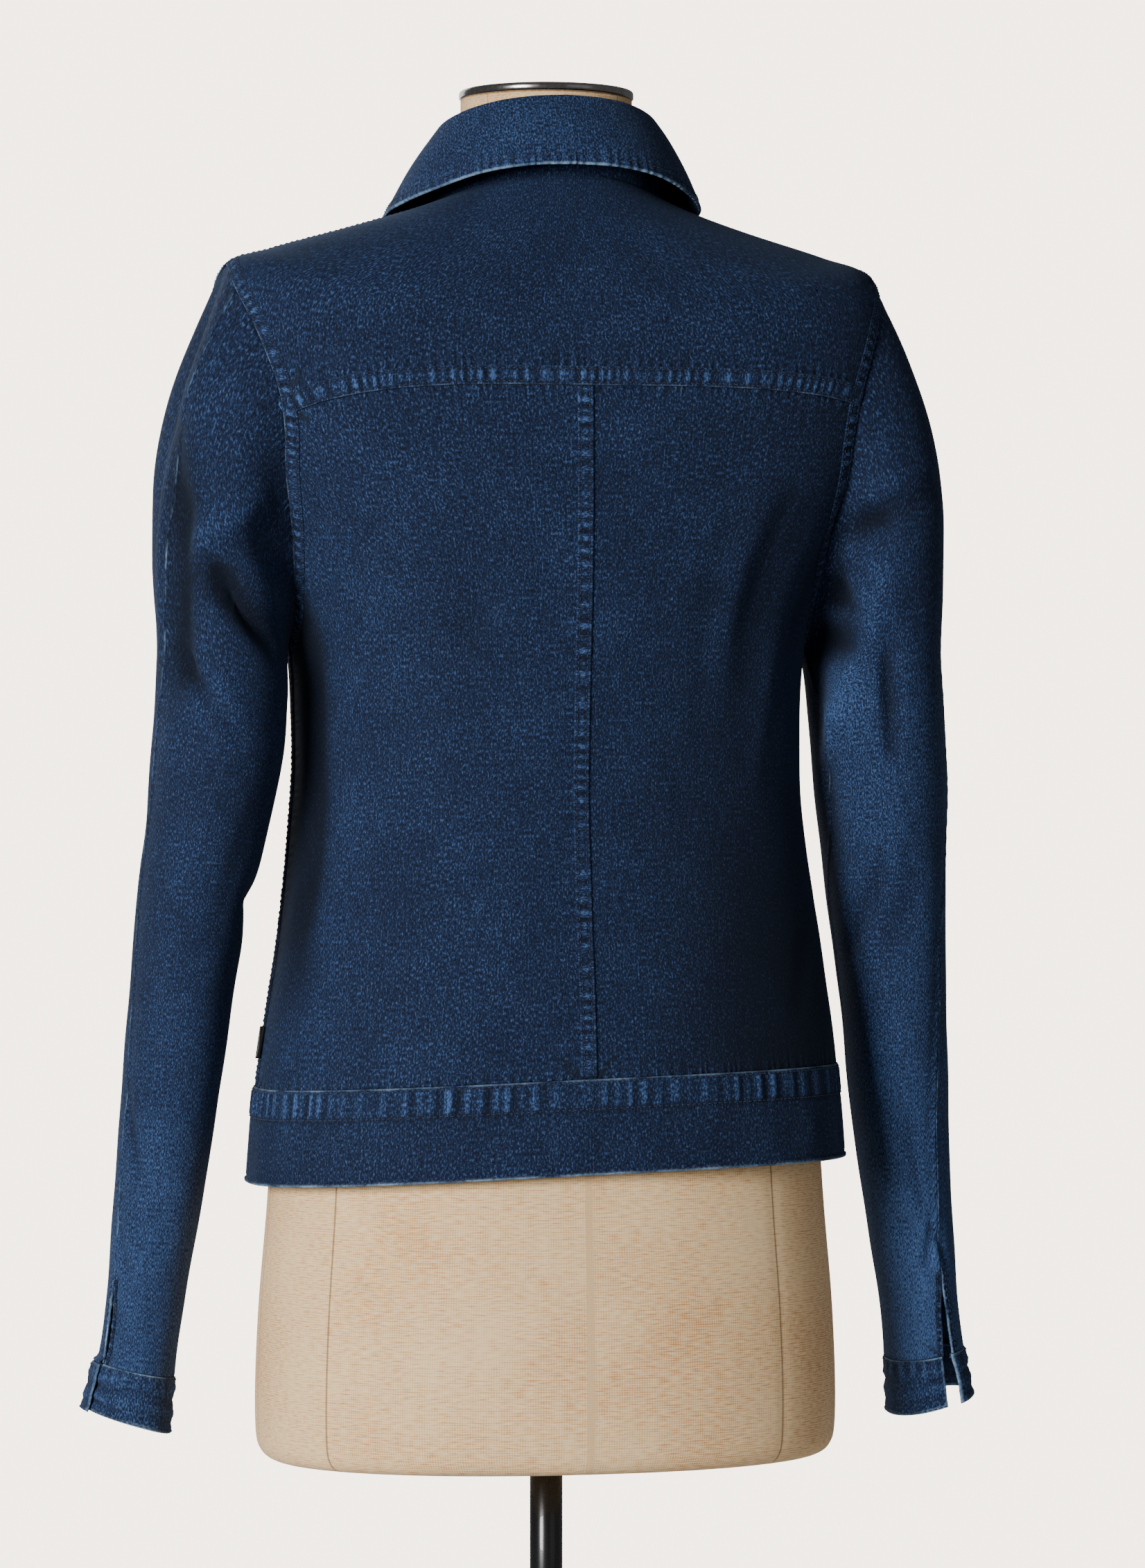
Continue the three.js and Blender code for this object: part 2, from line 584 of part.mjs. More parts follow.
function collarStand(s, t) {
  const top = add(collarAt(s * 0.985, "fold"), [0, 0, -0.7]);
  const low = bare(178.4 * s, R["neck"]);
  const inner = unit([top[0], top[1], 0]);
  const p0 = add(low, unit([low[0], low[1], 0]), -0.2);
  p0[2] += 0.75;
  const p1 = add(top, inner, -1.9);
  return [0, 1, 2].map((i) => mix(p0[i], p1[i], t));
}
sheet("collar_stand", steps(28, -1, 1), [0, 0.5, 1], (s, t, out) => {
  const p = collarStand(s, t);
  return add(p, unit([p[0], p[1], 0]), out);
}, 0, -1.6);

// ---- turned and small solids ----
// A turned solid from a profile [[radius, height], ...] that starts and ends on the axis.
function turned(name, profile, centre, axis, sides) {
  const z = unit(axis);
  const x = unit(cross(Math.abs(z[2]) > 0.9 ? [1, 0, 0] : [0, 0, 1], z));
  const y = cross(z, x);
  const points = [], faces = [];
  const inside = profile.slice(1, -1);
  points.push(add(centre, z, profile[0][1]));
  for (const [r, h] of inside)
    for (let k = 0; k < sides; k++) {
      const a = (2 * Math.PI * k) / sides;
      points.push(add(add(add(centre, z, h), x, r * Math.cos(a)), y, r * Math.sin(a)));
    }
  points.push(add(centre, z, profile[profile.length - 1][1]));
  const id = (j, k) => 1 + j * sides + (k % sides);
  for (let k = 0; k < sides; k++) {
    faces.push([0, id(0, k), id(0, k + 1)]);
    faces.push([points.length - 1, id(inside.length - 1, k + 1), id(inside.length - 1, k)]);
    for (let j = 0; j + 1 < inside.length; j++)
      faces.push([id(j, k), id(j + 1, k), id(j + 1, k + 1)], [id(j, k), id(j + 1, k + 1), id(j, k + 1)]);
  }
  mesh(name, points, faces);
}
// A dished metal button: a short shank under a rimmed head.
const BUTTON = [[0, 0], [4.2, 0], [4.2, 1.0], [8.4, 1.4], [8.4, 2.6], [7.2, 3.3], [0, 2.6]];
function button(name, point, normal) {
  turned(name, BUTTON, add(point, normal, 0.35), normal, 12);
}
[15, 12, 9, 6.4, 3.7].forEach((v, i) => {
  // on the over band's own flat facet between two of its rows
  const at = (k) => [0, ...body(180, k, 2.3).slice(1)];
  const low = at(Math.floor(v)), high = at(Math.ceil(v) === v ? v + 1 : Math.ceil(v));
  const n = unit(cross([1, 0, 0], sub(high, low)));
  const p = [0, 1, 2].map((c) => mix(low[c], high[c], v - Math.floor(v)));
  button("front_button_" + (i + 1), p, v === Math.floor(v) ? bodyNormal(180, v) : n);
});
{
  const n = bodyNormal(180, 0.5);
  button("front_button_6", [0, ...body(180, 0.5, 0.9 + 2.9).slice(1)], n);
}

// The bare woven tab in the left side seam.
{
  const low = body(90, 1.32), high = body(90, 1.68);
  const at = (u, v, out) => [mix(low[0], high[0], v) + 0.4 + 3.0 * u, 0.2 + out, mix(low[2], high[2], v)];
  sheet("side_tab", [0, 0.5, 1], [0, 0.5, 1], at, 0.7, -0.7);
}

// ---- the dress form ----
const FORM = rows(
  ["name", "side", "back", "front", "half", "behind", "ahead", "power"],
  [
    ["underside", 330, 330, 330, 150, 98, 95, 2.2],
    ["lower edge", 331.5, 331.5, 331.5, 159.5, 106, 103, 2.2],
    ["lower round", 336, 336, 336, 165.2, 111, 108, 2.2],
    ["rim", 346, 346, 346, 168, 113.5, 110, 2.2],
    ["seat", 375, 375, 375, 168.4, 114, 109, 2.2],
    ["hip", 420, 420, 420, 166.4, 112.5, 106, 2.2],
    ["high hip", 470, 470, 470, 162.2, 109, 101, 2.2],
    ["under band", 520, 520, 520, 158.5, 106, 97, 2.2],
    ["lower waist", 590, 590, 590, 151, 100, 90, 2.2],
    ["above hip", 650, 650, 650, 143.5, 93, 86, 2.2],
    ["waist", 705, 705, 705, 138.5, 87, 84, 2.2],
    ["midriff", 755, 755, 755, 139, 90, 95, 2.2],
    ["armpit", 801, 801, 801, 142, 96, 108, 2.3],
    ["bust", 838, 836, 838, 147, 100, 113, 2.35],
    ["chest", 870, 866, 870, 151.5, 102, 111, 2.4],
    ["blades", 904, 900, 898, 158.5, 102.8, 103.5, 2.5],
    ["yoke", 940, 931, 924, 168, 102, 92.5, 2.6],
    ["upper arm", 975, 958, 946, 175, 99, 81.5, 2.6],
    ["shoulder", 1002, 981, 964, 178.5, 94, 74, 2.6],
    ["shoulder end", 1013.5, 992, 972, 172, 90.8, 72, 2.55],
    ["slope 1", 1020.4, 1003, 979, 159, 87.6, 70, 2.5],
    ["slope 2", 1032, 1024, 989, 119, 77.3, 66.8, 2.35],
    ["slope 3", 1041.4, 1043.5, 996, 87, 67, 64.6, 2.15],
    ["neck base", 1048.5, 1058, 1003, 64.5, 58.4, 62.5, 2.05],
    ["neck round", 1056, 1066, 1018, 56, 53.4, 57.5, 2],
    ["neck low", 1068, 1077, 1042, 51, 50.8, 52, 2],
    ["neck", 1088, 1091, 1078, 49.7, 49.7, 49.7, 2],
    ["neck top", 1111, 1111, 1111, 49.5, 49.5, 49.5, 2],
  ],
);
{
  const around = 32, points = [], faces = [];
  const levels = FORM.map((_, i) => i);
  points.push([0, 0, FORM[0].side]);
  for (const v of levels) for (let k = 0; k < around; k++) points.push(ring(FORM, (360 * k) / around, v));
  points.push([0, 0, FORM[FORM.length - 1].side]);
  const id = (j, k) => 1 + j * around + (k % around);
  const top = points.length - 1, last = levels.length - 1;
  for (let k = 0; k < around; k++) {
    faces.push([0, id(0, k), id(0, k + 1)], [top, id(last, k + 1), id(last, k)]);
    for (let j = 0; j < last; j++)
      faces.push([id(j, k), id(j + 1, k), id(j + 1, k + 1)], [id(j, k), id(j + 1, k + 1), id(j, k + 1)]);
  }
  mesh("form_torso", points, faces);
}
turned("form_neck_cap", [[0, 0], [49.2, 0], [50.4, 0.8], [50.4, 4.2], [49.2, 5], [44, 5.2], [0, 5.6]],
  [0, 0, 1111.3], [0, 0, 1], 32);
turned("stand_pole", [[0, 0], [9.4, 0], [9.4, 321.3], [0, 321.3]], [0, 0, 8.4], [0, 0, 1], 28);
turned("stand_base", [[0, 0], [149, 0], [150, 1], [150, 6.4], [148.4, 8], [0, 8]], [0, 0, 0], [0, 0, 1], 44);

export default group;
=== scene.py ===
"""Denim jacket on a limbless dress form, seen from behind and a little from the wearer's left.

The cloth lies on two surfaces, the jacket's body and its sleeves, which are worked out in millimetres from
the same sections as the solids. Panels, felled seams and stitches all read those two surfaces, so that
each of them follows every fold. Meshes are turned to metres only when they are made.
"""

import logging
import math
from dataclasses import dataclass, field
from enum import Enum
from typing import Optional, Sequence

import bpy
import numpy as np
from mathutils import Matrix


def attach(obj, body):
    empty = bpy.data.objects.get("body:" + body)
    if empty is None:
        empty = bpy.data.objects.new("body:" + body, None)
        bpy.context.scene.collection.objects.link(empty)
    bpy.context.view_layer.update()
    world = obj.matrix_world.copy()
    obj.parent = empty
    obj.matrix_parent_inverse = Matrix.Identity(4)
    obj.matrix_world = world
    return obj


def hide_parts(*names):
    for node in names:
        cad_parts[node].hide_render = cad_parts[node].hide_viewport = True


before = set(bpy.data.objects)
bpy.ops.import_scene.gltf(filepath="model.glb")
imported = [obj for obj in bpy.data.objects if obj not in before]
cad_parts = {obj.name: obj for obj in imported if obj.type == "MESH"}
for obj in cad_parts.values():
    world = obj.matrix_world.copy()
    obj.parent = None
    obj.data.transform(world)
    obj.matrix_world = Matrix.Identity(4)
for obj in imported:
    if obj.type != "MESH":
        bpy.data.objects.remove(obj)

log = logging.getLogger("denim_jacket")
Array = np.ndarray
MM = 0.001
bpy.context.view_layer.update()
UP = np.array([0.0, 0.0, 1.0])
LEVEL = np.array([1.0, 1.0, 0.0])
MIRROR = np.array([-1.0, 1.0, 1.0])


# Small arithmetic on whole arrays.


def mix(a, b, share):
    """The value `share` of the way from a to b."""
    return a + (b - a) * share


def ease(start: float, end: float, x):
    """Zero before start, one after end, and a smooth step 3t^2 - 2t^3 between them."""
    t = np.clip((x - start) / (end - start), 0, 1)
    return t * t * (3 - 2 * t)


def bell(x, centre, width: float):
    """A smooth bell over x: one at the centre and 1/e at a width from it."""
    return np.exp(-(((x - centre) / width) ** 2))


def unit(v: Array) -> Array:
    """Vectors of length one along the last axis."""
    return v / np.maximum(np.linalg.norm(v, axis=-1, keepdims=True), 1e-9)


def catmull(table: Array, column: int, row) -> Array:
    """Catmull-Rom value of one column of a table at fractional row numbers.

    Args:
        table: the sections, one a row.
        column: the column to read.
        row: row numbers, of any shape.

    Returns:
        The values, of the same shape as row.
    """
    last = len(table) - 1
    row = np.asarray(row, float)
    i = np.clip(np.floor(row).astype(int), 0, last - 1)
    t = row - i
    a, b, c, d = (table[np.clip(i + k, 0, last), column] for k in (-1, 0, 1, 2))
    return b + 0.5 * t * (c - a + t * (2 * a - 5 * b + 4 * c - d + t * (3 * (b - c) + d - a)))


def eased_lookup(rows: Sequence[tuple], key) -> Array:
    """Values between the rows of a (key, value) list with rising keys, eased from each row to the next."""
    keys, values = np.array(rows, float).T
    key = np.clip(np.asarray(key, float), keys[0], keys[-1])
    i = np.clip(np.searchsorted(keys, key, side="right") - 1, 0, len(keys) - 2)
    t = (key - keys[i]) / (keys[i + 1] - keys[i])
    return mix(values[i], values[i + 1], t * t * (3 - 2 * t))


def shares(length: float, step: float, close: Sequence[float] = (0.0, 0.45, 1.0, 1.8, 3.0)) -> Array:
    """Shares 0 to 1 along a length, with close rows near both ends and even steps between them.

    Args:
        length: the length in mm.
        step: the even step in mm.
        close: distances of the close rows from each end in mm.

    Returns:
        Rising shares that start at 0 and end at 1.
    """
    inner = length - 2 * close[-1]
    middle = close[-1] + inner * np.linspace(0, 1, max(2, round(inner / step) + 1))[1:-1]
    return np.concatenate([close, middle, length - np.array(close[::-1])]) / length


def pucker(distance: Array, spacing: float, seed: float) -> Array:
    """Uneven small waves along a stitched seam, from about -1 to 1.

    A sine whose phase drifts by two slower sines and whose size swells and dies away, so that no two
    waves are alike. Each seam has a seed of its own, which only shifts those slow sines.
    """
    x = distance / spacing
    drift = 0.9 * np.sin(0.83 * x + 1.7 * seed) + 0.8 * np.sin(0.31 * x + 2.9 * seed)
    size = 0.62 + 0.38 * np.sin(0.57 * x + 3.1 * seed + 0.9 * np.sin(0.21 * x + seed))
    return size * np.sin(2 * np.pi * x + 1.5 * drift)


def ripple(u: Array, v: Array, seed: float) -> Array:
    """Slow uneven rise and fall of worn cloth, from about -1 to 1, over a plane in mm.

    The sum of four sine waves with unlike directions and lengths between 38 and 120 mm.
    """
    waves = ((0.052, 0.013, 1.0), (-0.031, 0.071, 0.7), (0.105, -0.044, 0.45), (0.018, -0.116, 0.5))
    total = sum(w * np.sin(a * u + b * v + seed * (k + 1.3)) for k, (a, b, w) in enumerate(waves))
    return total / 2.65


# The surfaces that the cloth lies on.

SIDE, BACK, FRONT, HALF, BEHIND, AHEAD, POWER = range(7)

# Level sections of the jacket's body: side, back and front heights, half width, depths and squareness.
BODY = np.array([
    [495.5, 499, 499, 173, 118, 112, 2.3],  # 0 hem
    [550, 552.5, 553, 168.5, 115.5, 108, 2.3],  # 1 top of the waistband
    [600, 601, 601, 161, 110, 101, 2.3],
    [650, 650, 650, 154, 101, 95, 2.3],
    [705, 705, 705, 148.5, 94, 92, 2.3],  # 4 waist
    [755, 755, 755, 147, 96, 103, 2.35],
    [801, 801, 801, 150, 101, 114, 2.4],  # 6 armpit
    [838, 836, 838, 159, 104, 118, 2.5],
    [870, 866, 870, 171, 105.5, 116, 2.65],
    [904, 900, 898, 185, 106, 108, 2.85],
    [940, 932, 925, 194, 105, 97, 3.0],  # 10 yoke seam
    [980, 960, 948, 196, 102, 86, 3.0],
    [1012, 984, 967, 187, 97, 78, 2.9],  # 12 shoulder
    [1022.5, 1003, 980, 160, 90.5, 73, 2.6],
    [1034, 1025, 990, 120, 80, 69.5, 2.4],
    [1043.5, 1046, 997, 88, 69.5, 67.5, 2.2],
    [1050, 1063, 1003, 67, 61, 66, 2.05],  # 16 neck
])
ARMPIT, YOKE_CENTRE, UPPER_ARM, SHOULDER, NECK = 6, 10.27, 11, 12, 16

# The armhole in side view: the sleeve's angle, y and height.
ARMHOLE = np.array([
    [0, 3, 1012], [20, 32, 1003.5], [45, 59, 979], [70, 73, 946], [90, 73, 915], [115, 60, 878],
    [140, 40, 838], [160, 21, 811], [180, 0, 801], [200, -22, 810], [225, -45, 838], [250, -58, 878],
    [270, -61, 914], [295, -55, 950], [320, -39, 982], [342, -18, 1003.5],
])

# Level sections of a sleeve: height, centre x and y, half widths across and deep, lean.
SLEEVE = np.array([
    [776, 191.2, 15.5, 36.4, 61, 0.34],
    [744, 193.2, 16, 36.2, 60.5, 0.2],
    [712, 196.4, 11.5, 35.4, 59.5, 0.1],
    [680, 200.4, 2.5, 33.7, 58, 0.05],
    [648, 204.4, -6, 31.9, 56, 0.02],
    [616, 208.2, -11.5, 30, 53, 0.02],
    [584, 211.5, -15.5, 28.6, 50, 0.02],
    [552, 214.4, -19, 27.6, 47.5, 0.02],
    [520, 217.6, -22.5, 26.6, 45, 0.03],
    [488, 221, -25, 25, 43, 0.04],
    [456, 224.9, -26.5, 23.2, 41, 0.06],
    [424, 228.8, -27, 21.6, 39.2, 0.09],
    [402, 231.6, -28, 21, 38.4, 0.13],
    [382, 234.2, -30, 21.6, 38, 0.2],
    [352, 238.5, -33.5, 23.8, 38.6, 0.3],
])
CUFF_ROW, CUFF_END = 13, 14


class Side(Enum):
    """The wearer's left or right, and which way +X runs there."""

    LEFT = 1
    RIGHT = -1

    @property
    def word(self) -> str:
        """The side's name, as the nodes have it."""
        return self.name.lower()


@dataclass(frozen=True)
class Crease:
    """A soft fold along a straight line on a skin.

    The line runs from (a0, z0) to (a1, z1), angle in degrees and height in mm. A ridge has a height above
    zero, a trough below. skew makes one of its two sides steeper.
    """

    a0: float
    z0: float
    a1: float
    z1: float
    width: float
    height: float
    skew: float = 0.0

    def relief(self, angle: Array, z: Array, radius: float) -> Array:
        """Height of the fold at each point: a bell across the line that dies away towards its ends."""
        px, pz = np.radians(angle - self.a0) * radius, z - self.z0
        dx, dz = math.radians(self.a1 - self.a0) * radius, self.z1 - self.z0
        t = np.clip((px * dx + pz * dz) / (dx * dx + dz * dz), 0, 1)
        off = np.hypot(px - t * dx, pz - t * dz)
        across = (px * dz - pz * dx) / math.hypot(dx, dz)
        width = self.width * (1 + self.skew * np.tanh(across / self.width))
        return self.height * bell(off, 0, width) * (0.55 + 0.45 * np.sin(np.pi * t))


def ring(table: Array, angle: Array, row: Array) -> Array:
    """Points on superellipse sections whose angle runs from the back (+Y) to +X and the front.

    The radius factor is (|sin|^p + |cos|^p)^(-1/p), and the height goes from the side's to the back's or
    the front's with cos squared.
    """
    s, c = np.sin(np.radians(angle)), np.cos(np.radians(angle))
    p = catmull(table, POWER, row)
    k = (np.abs(s) ** p + np.abs(c) ** p) ** (-1 / p)
    side = catmull(table, SIDE, row)
    centre = np.where(c > 0, catmull(table, BACK, row), catmull(table, FRONT, row))
    depth = np.where(c > 0, catmull(table, BEHIND, row), catmull(table, AHEAD, row))
    return np.stack([catmull(table, HALF, row) * k * s, depth * k * c, side + (centre - side) * c * c], -1)


class Skin:
    """A surface with two parameters that cloth lies on."""

    mirrored = False
    last = 1.0
    grain_angle = 0.0
    radius = 150.0

    def bare(self, a: Array, v: Array) -> Array:
        """Points without folds."""
        raise NotImplementedError

    def normal(self, a: Array, v: Array) -> Array:
        """Outward directions of the surface without folds."""
        raise NotImplementedError

    def relief(self, a: Array, v: Array, p: Array) -> Array:
        """Height of the folds in mm."""
        raise NotImplementedError

    def place(self, a: Array, v: Array) -> tuple[Array, Array, Array]:
        """Points on the folded cloth.

        Args:
            a: first parameter, an angle in degrees.
            v: second parameter, a row number.

        Returns:
            The points, the directions out of the cloth, and the folds' tone: their height, less where
            they rise and more where they sink. Crests pale only a little, partly as wear and partly as
            painted light; hollows darken with painted shade.
        """
        a, v = np.broadcast_arrays(np.asarray(a, float), np.asarray(v, float))
        p, n = self.bare(a, v), self.normal(a, v)
        height = self.relief(a, v, p)
        p = p + n * height[..., None]
        if self.mirrored:
            p, n = p * MIRROR, n * MIRROR
        # Painted shade deepens the hollows; crests pale a little, partly wear and partly painted light.
        return p, n, np.where(height > 0, 0.35, 1.25) * height

    def flat(self, a: Array, v: Array, origin: tuple[float, float] = (0.0, 0.0)) -> Array:
        """Places on the flat cloth in mm, with the warp straight up and down.

        Across, the angle in radians times one radius; along, the length up one column of the surface.
        """
        rows = np.linspace(0, self.last, 400)
        line = self.bare(np.full_like(rows, self.grain_angle), rows)
        gone = np.concatenate([[0], np.cumsum(np.linalg.norm(np.diff(line, axis=0), axis=1))])
        return np.stack([np.radians(a) * self.radius + origin[0], np.interp(v, rows, gone) + origin[1]], -1)

    def pitch(self, a: Array, v: Array) -> tuple[Array, Array]:
        """How many degrees and how many rows one millimetre takes up at each point."""
        da = np.linalg.norm(self.bare(a + 0.5, v) - self.bare(a - 0.5, v), axis=-1)
        lo, hi = np.clip(v - 0.04, 0, None), np.minimum(v + 0.04, self.last)
        dv = np.linalg.norm(self.bare(a, hi) - self.bare(a, lo), axis=-1) / (hi - lo)
        return 1 / np.maximum(da, 1e-6), 1 / np.maximum(dv, 1e-6)

    def band(self, a: Array, v: Array, across: Array) -> tuple[Array, Array]:
        """The parameters of a band beside a path.

        Each point moves at right angles to the path, measured in mm on the surface, to the left of the
        way the path runs as seen from outside.

        Args:
            a: the path's angles.
            v: the path's rows.
            across: distances from the path in mm.

        Returns:
            Angles and rows, one line for each distance.
        """
        pa, pv = self.pitch(a, v)
        ta, tv = np.gradient(a) / pa, np.gradient(v) / pv
        size = np.maximum(np.hypot(ta, tv), 1e-9)
        ta, tv = ta / size, tv / size
        w = np.asarray(across, float)[:, None]
        return a - w * tv * pa, np.clip(v + w * ta * pv, 0, self.last)


class BodySkin(Skin):
    """The jacket's body: the angle runs round from the centre back, the row from hem to neck."""

    last = float(NECK)
    creases = tuple(Crease(*row) for row in (
        (28, 792, 21, 812, 13, -1.4), (-44, 870, -38, 760, 15, -2.0), (-33, 900, -30, 780, 16, 1.8),
        (-62, 880, -55, 780, 14, -2.0), (68, 800, 66, 610, 15, -3.0), (120, 810, 135, 860, 20, -2.4),
        (-120, 805, -138, 855, 22, -2.2), (70, 640, 58, 570, 20, 1.8), (-75, 650, -66, 575, 18, 1.8),
        # Narrower creases on the same folds.
        (-28, 866, -27, 752, 6.5, -1.3, 0.3), (-40, 885, -37, 800, 7, -1.4, -0.3),
        (-34, 872, -33, 775, 8, 1.2), (-22, 850, -21, 790, 7, 0.9), (-50, 800, -44, 720, 9, 1.1),
        (-19, 745, -24, 700, 8, -0.9), (27, 796, 21, 811, 6, -0.8, 0.3), (20, 802, 13, 826, 8, 0.9),
        (54, 770, 51, 640, 11, 1.0), (10, 700, 24, 655, 9, -0.7), (-60, 640, -50, 590, 8, -1.0),
        (140, 850, 150, 780, 9, -1.4), (-141, 845, -148, 770, 8, -1.3), (128, 700, 138, 640, 9, 1.1),
        (-126, 710, -139, 650, 10, 1.2), (155, 640, 150, 590, 8, -0.9),
    ))

    def bare(self, a: Array, v: Array) -> Array:
        """The ring's point, hanging lower on the wearer's left below the armpit."""
        p = ring(BODY, a, v)
        p[..., 2] -= 0.037 * p[..., 0] * np.clip((800 - p[..., 2]) / 240, 0, 1)
        return p

    def normal(self, a: Array, v: Array) -> Array:
        """The cross product of the way up and the way round."""
        da = self.bare(a + 0.6, v) - self.bare(a - 0.6, v)
        dv = self.bare(a, np.minimum(v + 0.02, self.last)) - self.bare(a, np.maximum(v - 0.02, 0))
        return unit(np.cross(dv, da))

    def relief(self, a: Array, v: Array, p: Array) -> Array:
        """Folds and a slow ripple below the shoulders, where the cloth hangs free of the form."""
        a = (a + 180) % 360 - 180
        z = p[..., 2]
        total = sum(c.relief(a, z, self.radius) for c in self.creases)
        total = total + 0.55 * ripple(np.radians(a) * self.radius, z, 2.1) * ease(520, 580, z)
        return total * ease(SHOULDER, UPPER_ARM, v)

    def row_at(self, a: Array, z: Array) -> Array:
        """The row whose height is z at angle a, by halving."""
        lo, hi = np.full(np.shape(a), 3.0), np.full(np.shape(a), self.last - 0.001)
        for _ in range(30):
            m = (lo + hi) / 2
            low = self.bare(a, m)[..., 2] < z
            lo, hi = np.where(low, m, lo), np.where(low, hi, m)
        return lo

    def seen_from_side(self, y: Array, z: Array) -> tuple[Array, Array]:
        """The angle and row of points given in side view, on the wearer's left."""
        lo, hi = np.full(np.shape(y), 2.0), np.full(np.shape(y), 178.0)
        for _ in range(30):
            m = (lo + hi) / 2
            behind = self.bare(m, self.row_at(m, z))[..., 1] > y
            lo, hi = np.where(behind, m, lo), np.where(behind, hi, m)
        return lo, self.row_at(lo, z)

    def front_angle(self, x: Array, v: Array) -> Array:
        """The angle on the front where the body is x across, at each row."""
        x, v = np.broadcast_arrays(np.asarray(x, float), np.asarray(v, float))
        lo, hi = np.full(x.shape, 90.0), np.full(x.shape, 180.0)
        for _ in range(30):
            m = (lo + hi) / 2
            wide = self.bare(m, v)[..., 0] > np.abs(x)
            lo, hi = np.where(wide, m, lo), np.where(wide, hi, m)
        return np.where(x < 0, 360 - lo, lo)


BODY_SKIN = BodySkin()
_HOLE_ANGLE, _HOLE_ROW = BODY_SKIN.seen_from_side(ARMHOLE[:, 1], np.minimum(ARMHOLE[:, 2], 1011.9))
HOLE = np.stack([ARMHOLE[:, 0], _HOLE_ANGLE, _HOLE_ROW], 1)


def hole(psi: Array) -> tuple[Array, Array]:
    """The armhole's angle and row on the body at a sleeve angle, by Catmull-Rom round the closed loop."""
    n = len(HOLE)
    turn = np.mod(psi, 360.0)
    i = np.searchsorted(HOLE[:, 0], turn, side="right") - 1
    start = HOLE[i, 0]
    end = np.where(i + 1 < n, HOLE[(i + 1) % n, 0], 360.0)
    t = (turn - start) / (end - start)
    found = []
    for column in (1, 2):
        p, q, r, s = (HOLE[(i + k) % n, column] for k in (-1, 0, 1, 2))
        found.append(q + 0.5 * t * (r - p + t * (2 * p - 5 * q + 4 * r - s + t * (3 * (q - r) + s - p))))
    return found[0], found[1]


def hole_table(front: bool) -> Array:
    """The armhole read upwards from the armpit: row, body angle and sleeve angle."""
    psi = np.linspace(180, 360 if front else 0, 181)
    angle, row = hole(psi)
    keep = np.concatenate([[True], row[1:] > np.maximum.accumulate(row)[:-1] + 1e-6])
    return np.stack([row, angle, psi], 1)[keep]


HOLE_BEHIND, HOLE_BEFORE = hole_table(False), hole_table(True)


def edge_angle(front: bool, row: Array) -> Array:
    """The outer edge of a body panel at each row: side seam, armhole, then shoulder seam."""
    table = HOLE_BEFORE if front else HOLE_BEHIND
    inside = (row > table[0, 0]) & (row < table[-1, 0])
    return np.where(inside, np.interp(row, table[:, 0], table[:, 1]), 90.0)


class SleeveSkin(Skin):
    """A sleeve: the angle runs round it from the outer side, the row from the armhole to the wrist.

    Rows 0 to 1 are the sleeve head, an Hermite curve from the armhole to the first level section, and
    each later row is one section. The right sleeve is the left one's frame mirrored, with its own folds.
    """

    last = 15.0
    grain_angle = 90.0
    radius = 44.0
    crease_radius = 46.0
    power = 2.15

    def __init__(self, side: Side, creases: Sequence[tuple]) -> None:
        """Keep the side and its folds, given as rows of a crease's numbers."""
        self.side, self.creases = side, tuple(Crease(*row) for row in creases)
        self.mirrored = side is Side.RIGHT

    def tube(self, psi: Array, row: Array) -> Array:
        """Points of the level sections: a superellipse of that power, which leans outwards."""
        c, s = np.cos(np.radians(psi)), np.sin(np.radians(psi))
        k = (np.abs(s) ** self.power + np.abs(c) ** self.power) ** (-1 / self.power)
        z, x, y, across, deep, lean = (catmull(SLEEVE, i, row) for i in range(6))
        out = across * k * c
        return np.stack([x + out, y + deep * k * s, z + lean * out], -1)

    def bare(self, a: Array, v: Array) -> Array:
        """The sleeve head above row 1 and the level sections below it."""
        a, v = np.broadcast_arrays(np.asarray(a, float), np.asarray(v, float))
        low = self.tube(a, np.maximum(v - 1, 0))
        t = np.clip(v, 0, 1)[..., None]
        start, first = BODY_SKIN.bare(*hole(a)), self.tube(a, np.zeros_like(v))
        down = unit(self.tube(a, np.full_like(v, 0.1)) - first)
        far = np.linalg.norm(first - start, axis=-1, keepdims=True)
        c, s = np.cos(np.radians(a)), np.sin(np.radians(a))
        out = 0.22 + 0.5 * np.abs(s)
        leave = np.stack([out, 0.12 * s, -np.sqrt(1 - out * out)], -1) * far
        t2, t3 = t * t, t * t * t
        cap = ((2 * t3 - 3 * t2 + 1) * start + (t3 - 2 * t2 + t) * leave
               + (3 * t2 - 2 * t3) * first + (t3 - t2) * down * far)
        cap[..., 0] += 8 * np.maximum(0, c) ** 1.2 * np.abs(np.sin(np.pi * t[..., 0])) ** 1.4
        return np.where((v >= 1)[..., None], low, cap)

    def normal(self, a: Array, v: Array) -> Array:
        """The cross product of the way down and the way round, turned towards the body at the armhole."""
        da = self.bare(a + 1, v) - self.bare(a - 1, v)
        dv = self.bare(a, v + 0.02) - self.bare(a, np.maximum(v - 0.02, 0))
        n = unit(-np.cross(da, dv))
        share = np.clip(1 - v / 0.12, 0, 1)[..., None]
        seam = unit(BODY_SKIN.normal(*hole(a)) + n)
        return np.where(share > 0, unit(mix(n, seam, share)), n)

    def relief(self, a: Array, v: Array, p: Array) -> Array:
        """The sleeve's folds and a slow ripple, held flat at the armhole and at the cuff."""
        a, z = np.mod(a, 360), p[..., 2]
        total = sum(c.relief(a, z, self.crease_radius) for c in self.creases)
        around = 22 * np.sin(np.radians(a)) + 30 * np.cos(np.radians(2 * a))
        total = total + 0.6 * ripple(around, z, 4.4 + self.side.value) * ease(385, 430, z)
        return total * ease(0, 0.22, v)


